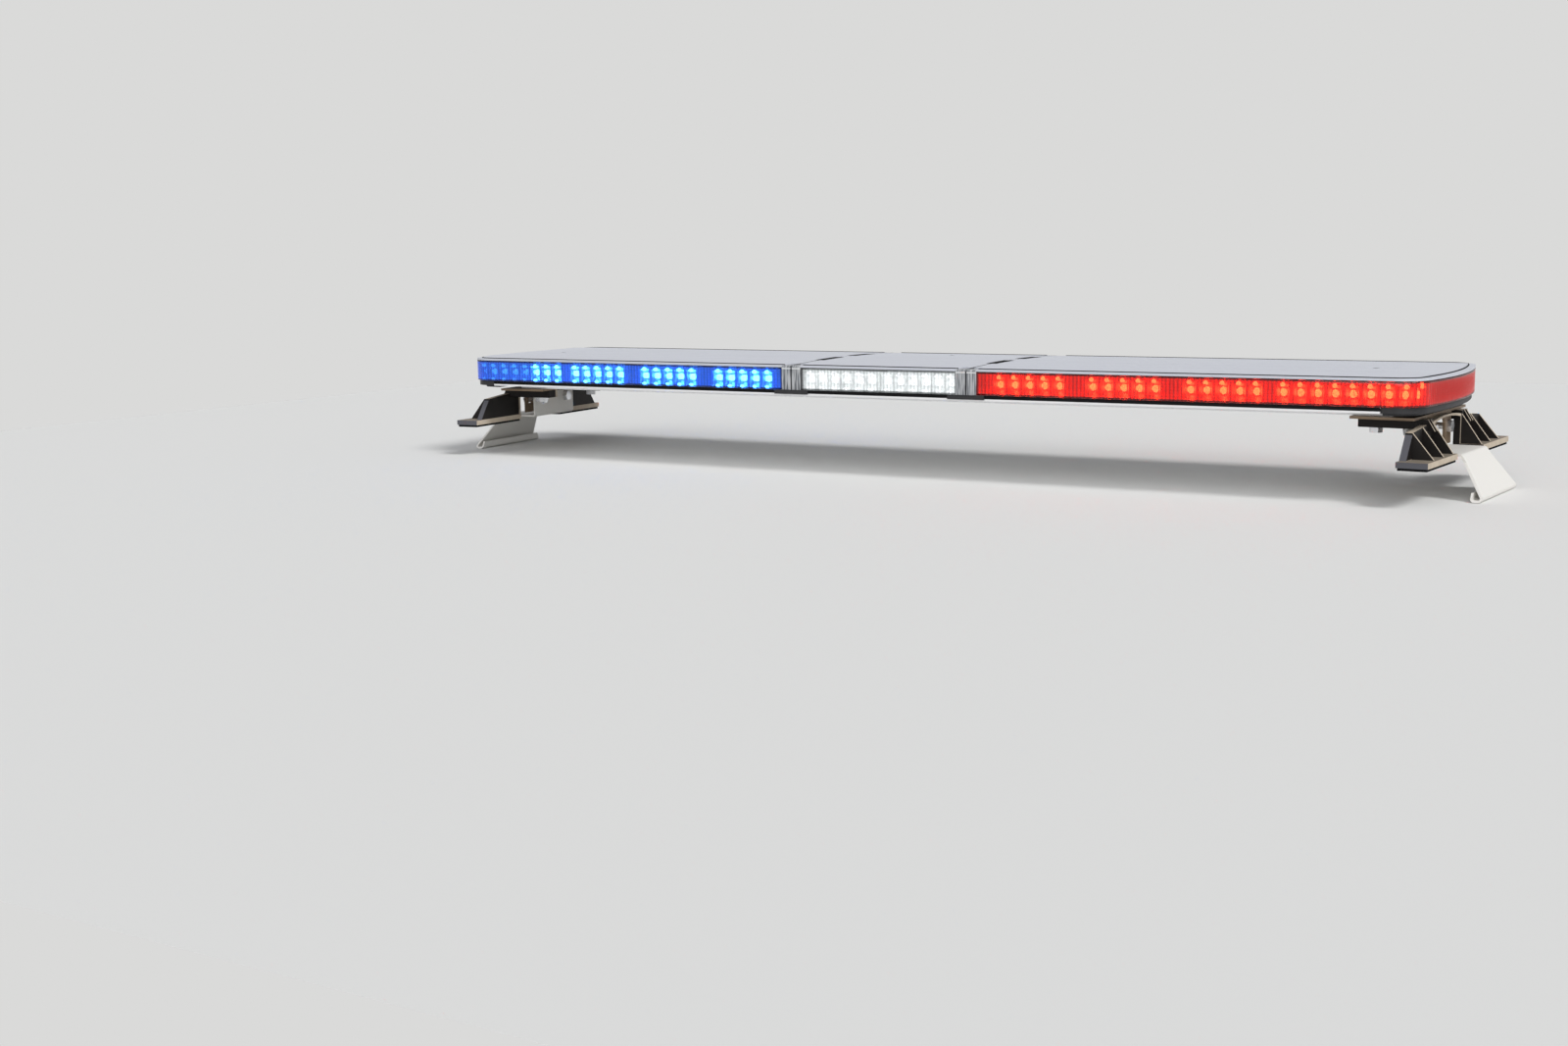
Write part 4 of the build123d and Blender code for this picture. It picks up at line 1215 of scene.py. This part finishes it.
link(zinc, cloud_gloss.outputs["Result"], shader.inputs["Roughness"])
coat(["foot_cradle_left", "foot_cradle_right"], zinc)

# Roof straps
# The straps are stainless steel strip, cold bent, and brushed so finely that they look pale and
# soft. The grain runs down them and is drawn coarser than the real one's 0.1 mm, so that it shows.
stainless, shader = new_material(
    "brushed_stainless_strip",
    Base_Color=linear("#E6E4DF"),
    Metallic=0.12,
    Roughness=0.6,
)
place = add_node(stainless, "ShaderNodeTexCoord", {})
brush_stretch = add_node(
    stainless,
    "ShaderNodeMapping",
    {"Vector": place.outputs["Object"], "Scale": (1 / (60 * MM), 1 / (0.7 * MM), 1 / (60 * MM))},
)
brushing = add_node(
    stainless,
    "ShaderNodeTexNoise",
    {"Vector": brush_stretch.outputs["Vector"], "Scale": 1.0, "Detail": 4.0},
)
brush_gloss = add_node(
    stainless,
    "ShaderNodeMapRange",
    {"Value": brushing.outputs["Fac"], "To Min": 0.5, "To Max": 0.7},
)
link(stainless, brush_gloss.outputs["Result"], shader.inputs["Roughness"])
brush_bump = add_node(
    stainless,
    "ShaderNodeBump",
    {"Height": brushing.outputs["Fac"], "Strength": 0.25, "Distance": 0.05 * MM},
)
link(stainless, brush_bump.outputs["Normal"], shader.inputs["Normal"])
coat(["roof_strap_left", "roof_strap_right"], stainless)

# Bolts and nuts
# They are steel, barrel plated with bright zinc, which leaves small tumbling marks all over.
bright_zinc, shader = new_material(
    "bright_zinc_plate",
    Base_Color=linear("#E2E3E6"),
    Metallic=0.9,
    Roughness=0.28,
)
place = add_node(bright_zinc, "ShaderNodeTexCoord", {})
tumble = add_node(
    bright_zinc,
    "ShaderNodeTexNoise",
    {"Vector": place.outputs["Object"], "Scale": 1 / (1.5 * MM), "Detail": 3.0},
)
tumble_gloss = add_node(
    bright_zinc,
    "ShaderNodeMapRange",
    {"Value": tumble.outputs["Fac"], "To Min": 0.2, "To Max": 0.42},
)
link(bright_zinc, tumble_gloss.outputs["Result"], shader.inputs["Roughness"])
tumble_bump = add_node(
    bright_zinc,
    "ShaderNodeBump",
    {"Height": tumble.outputs["Fac"], "Strength": 0.2, "Distance": 0.06 * MM},
)
link(bright_zinc, tumble_bump.outputs["Normal"], shader.inputs["Normal"])
coat([name for name in nodes if "_bolts_" in name], bright_zinc)

# Studio
# A plain pale floor just under the hooks of the straps, a wide soft sun from the bar's red end, a
# softer one from its front, and a backdrop of the colour that the floor comes out at.
BACKDROP = linear("#DADAD9")
FLOOR_DROP = 0.5 * MM
FLOOR_HALF = 1.7
floor_height = cad_box[0].z - FLOOR_DROP
FLOOR_CORNERS = ((-1, -1), (1, -1), (1, 1), (-1, 1))
floor_mesh = bpy.data.meshes.new("studio_floor")
floor_mesh.from_pydata(
    [(x * FLOOR_HALF, y * FLOOR_HALF, floor_height) for x, y in FLOOR_CORNERS],
    [],
    [(0, 1, 2, 3)],
)
studio_floor = bpy.data.objects.new("studio_floor", floor_mesh)
bpy.context.scene.collection.objects.link(studio_floor)
floor_paint, shader = new_material(
    "studio_floor_paint",
    Base_Color=linear("#EBEBE9"),
    Roughness=1.0,
    Specular_IOR_Level=0.0,
)
floor_mesh.materials.append(floor_paint)

world = bpy.data.worlds.new("studio")
world.use_nodes = True
bpy.context.scene.world = world
sky = world.node_tree.nodes["Background"]
sky.inputs["Color"].default_value = linear("#EDEFF4")
sky.inputs["Strength"].default_value = 0.3
backdrop = add_node(world, "ShaderNodeBackground", {"Color": BACKDROP, "Strength": 1.0})
ray = add_node(world, "ShaderNodeLightPath", {})
mirrored = add_node(
    world,
    "ShaderNodeMath",
    {0: ray.outputs["Is Glossy Ray"], 1: ray.outputs["Is Transmission Ray"]},
    operation="MAXIMUM",
)
seen = add_node(
    world,
    "ShaderNodeMath",
    {0: ray.outputs["Is Camera Ray"], 1: mirrored.outputs["Value"]},
    operation="MAXIMUM",
)
either = add_node(
    world,
    "ShaderNodeMixShader",
    {"Fac": seen.outputs["Value"], 1: sky.outputs["Background"], 2: backdrop.outputs["Background"]},
)
link(world, either.outputs["Shader"], world.node_tree.nodes["World Output"].inputs["Surface"])

# Each sun: where it shines from, its strength, and its width in degrees.
SUNS = {"soft_sun": ((1.0, -0.25, 1.1), 1.75, 20), "front_fill": ((0.3, -1.0, 0.6), 1.15, 60)}
for name, (from_place, energy, softness) in SUNS.items():
    sun = bpy.data.lights.new(name, "SUN")
    sun.energy = energy
    sun.angle = math.radians(softness)
    sun_fitting = bpy.data.objects.new(name, sun)
    sun_fitting.rotation_euler = Vector(from_place).to_track_quat("Z", "Y").to_euler()
    bpy.context.scene.collection.objects.link(sun_fitting)

# Camera
# It stands where the photograph was taken from: ahead of the bar, to its red side, a little above it.
SENSOR_WIDTH = 36.0
PHOTO_WIDTH = 1600
FOCAL_PIXELS = 1894.279
CAMERA_PLACE = Vector((1.125263, -2.216565, 0.253552))
CAMERA_YAW = math.radians(31.424)
CAMERA_PITCH = math.radians(8.509)
CAMERA_ROLL = math.radians(0.957)
CLIP_END = 200
camera_data = bpy.data.cameras.new("camera")
camera_data.sensor_width = SENSOR_WIDTH
camera_data.lens = FOCAL_PIXELS / PHOTO_WIDTH * SENSOR_WIDTH
camera_data.clip_end = CLIP_END
camera = bpy.data.objects.new("camera", camera_data)
bpy.context.scene.collection.objects.link(camera)
ahead = Vector(
    (
        -math.sin(CAMERA_YAW) * math.cos(CAMERA_PITCH),
        math.cos(CAMERA_YAW) * math.cos(CAMERA_PITCH),
        -math.sin(CAMERA_PITCH),
    )
)
level_right = Vector((math.cos(CAMERA_YAW), math.sin(CAMERA_YAW), 0))
level_up = level_right.cross(ahead)
right = level_right * math.cos(CAMERA_ROLL) - level_up * math.sin(CAMERA_ROLL)
up = level_right * math.sin(CAMERA_ROLL) + level_up * math.cos(CAMERA_ROLL)
camera.rotation_euler = Matrix((right, up, -ahead)).transposed().to_euler()
camera.location = CAMERA_PLACE
bpy.context.scene.camera = camera
bpy.context.scene.view_settings.view_transform = "Standard"
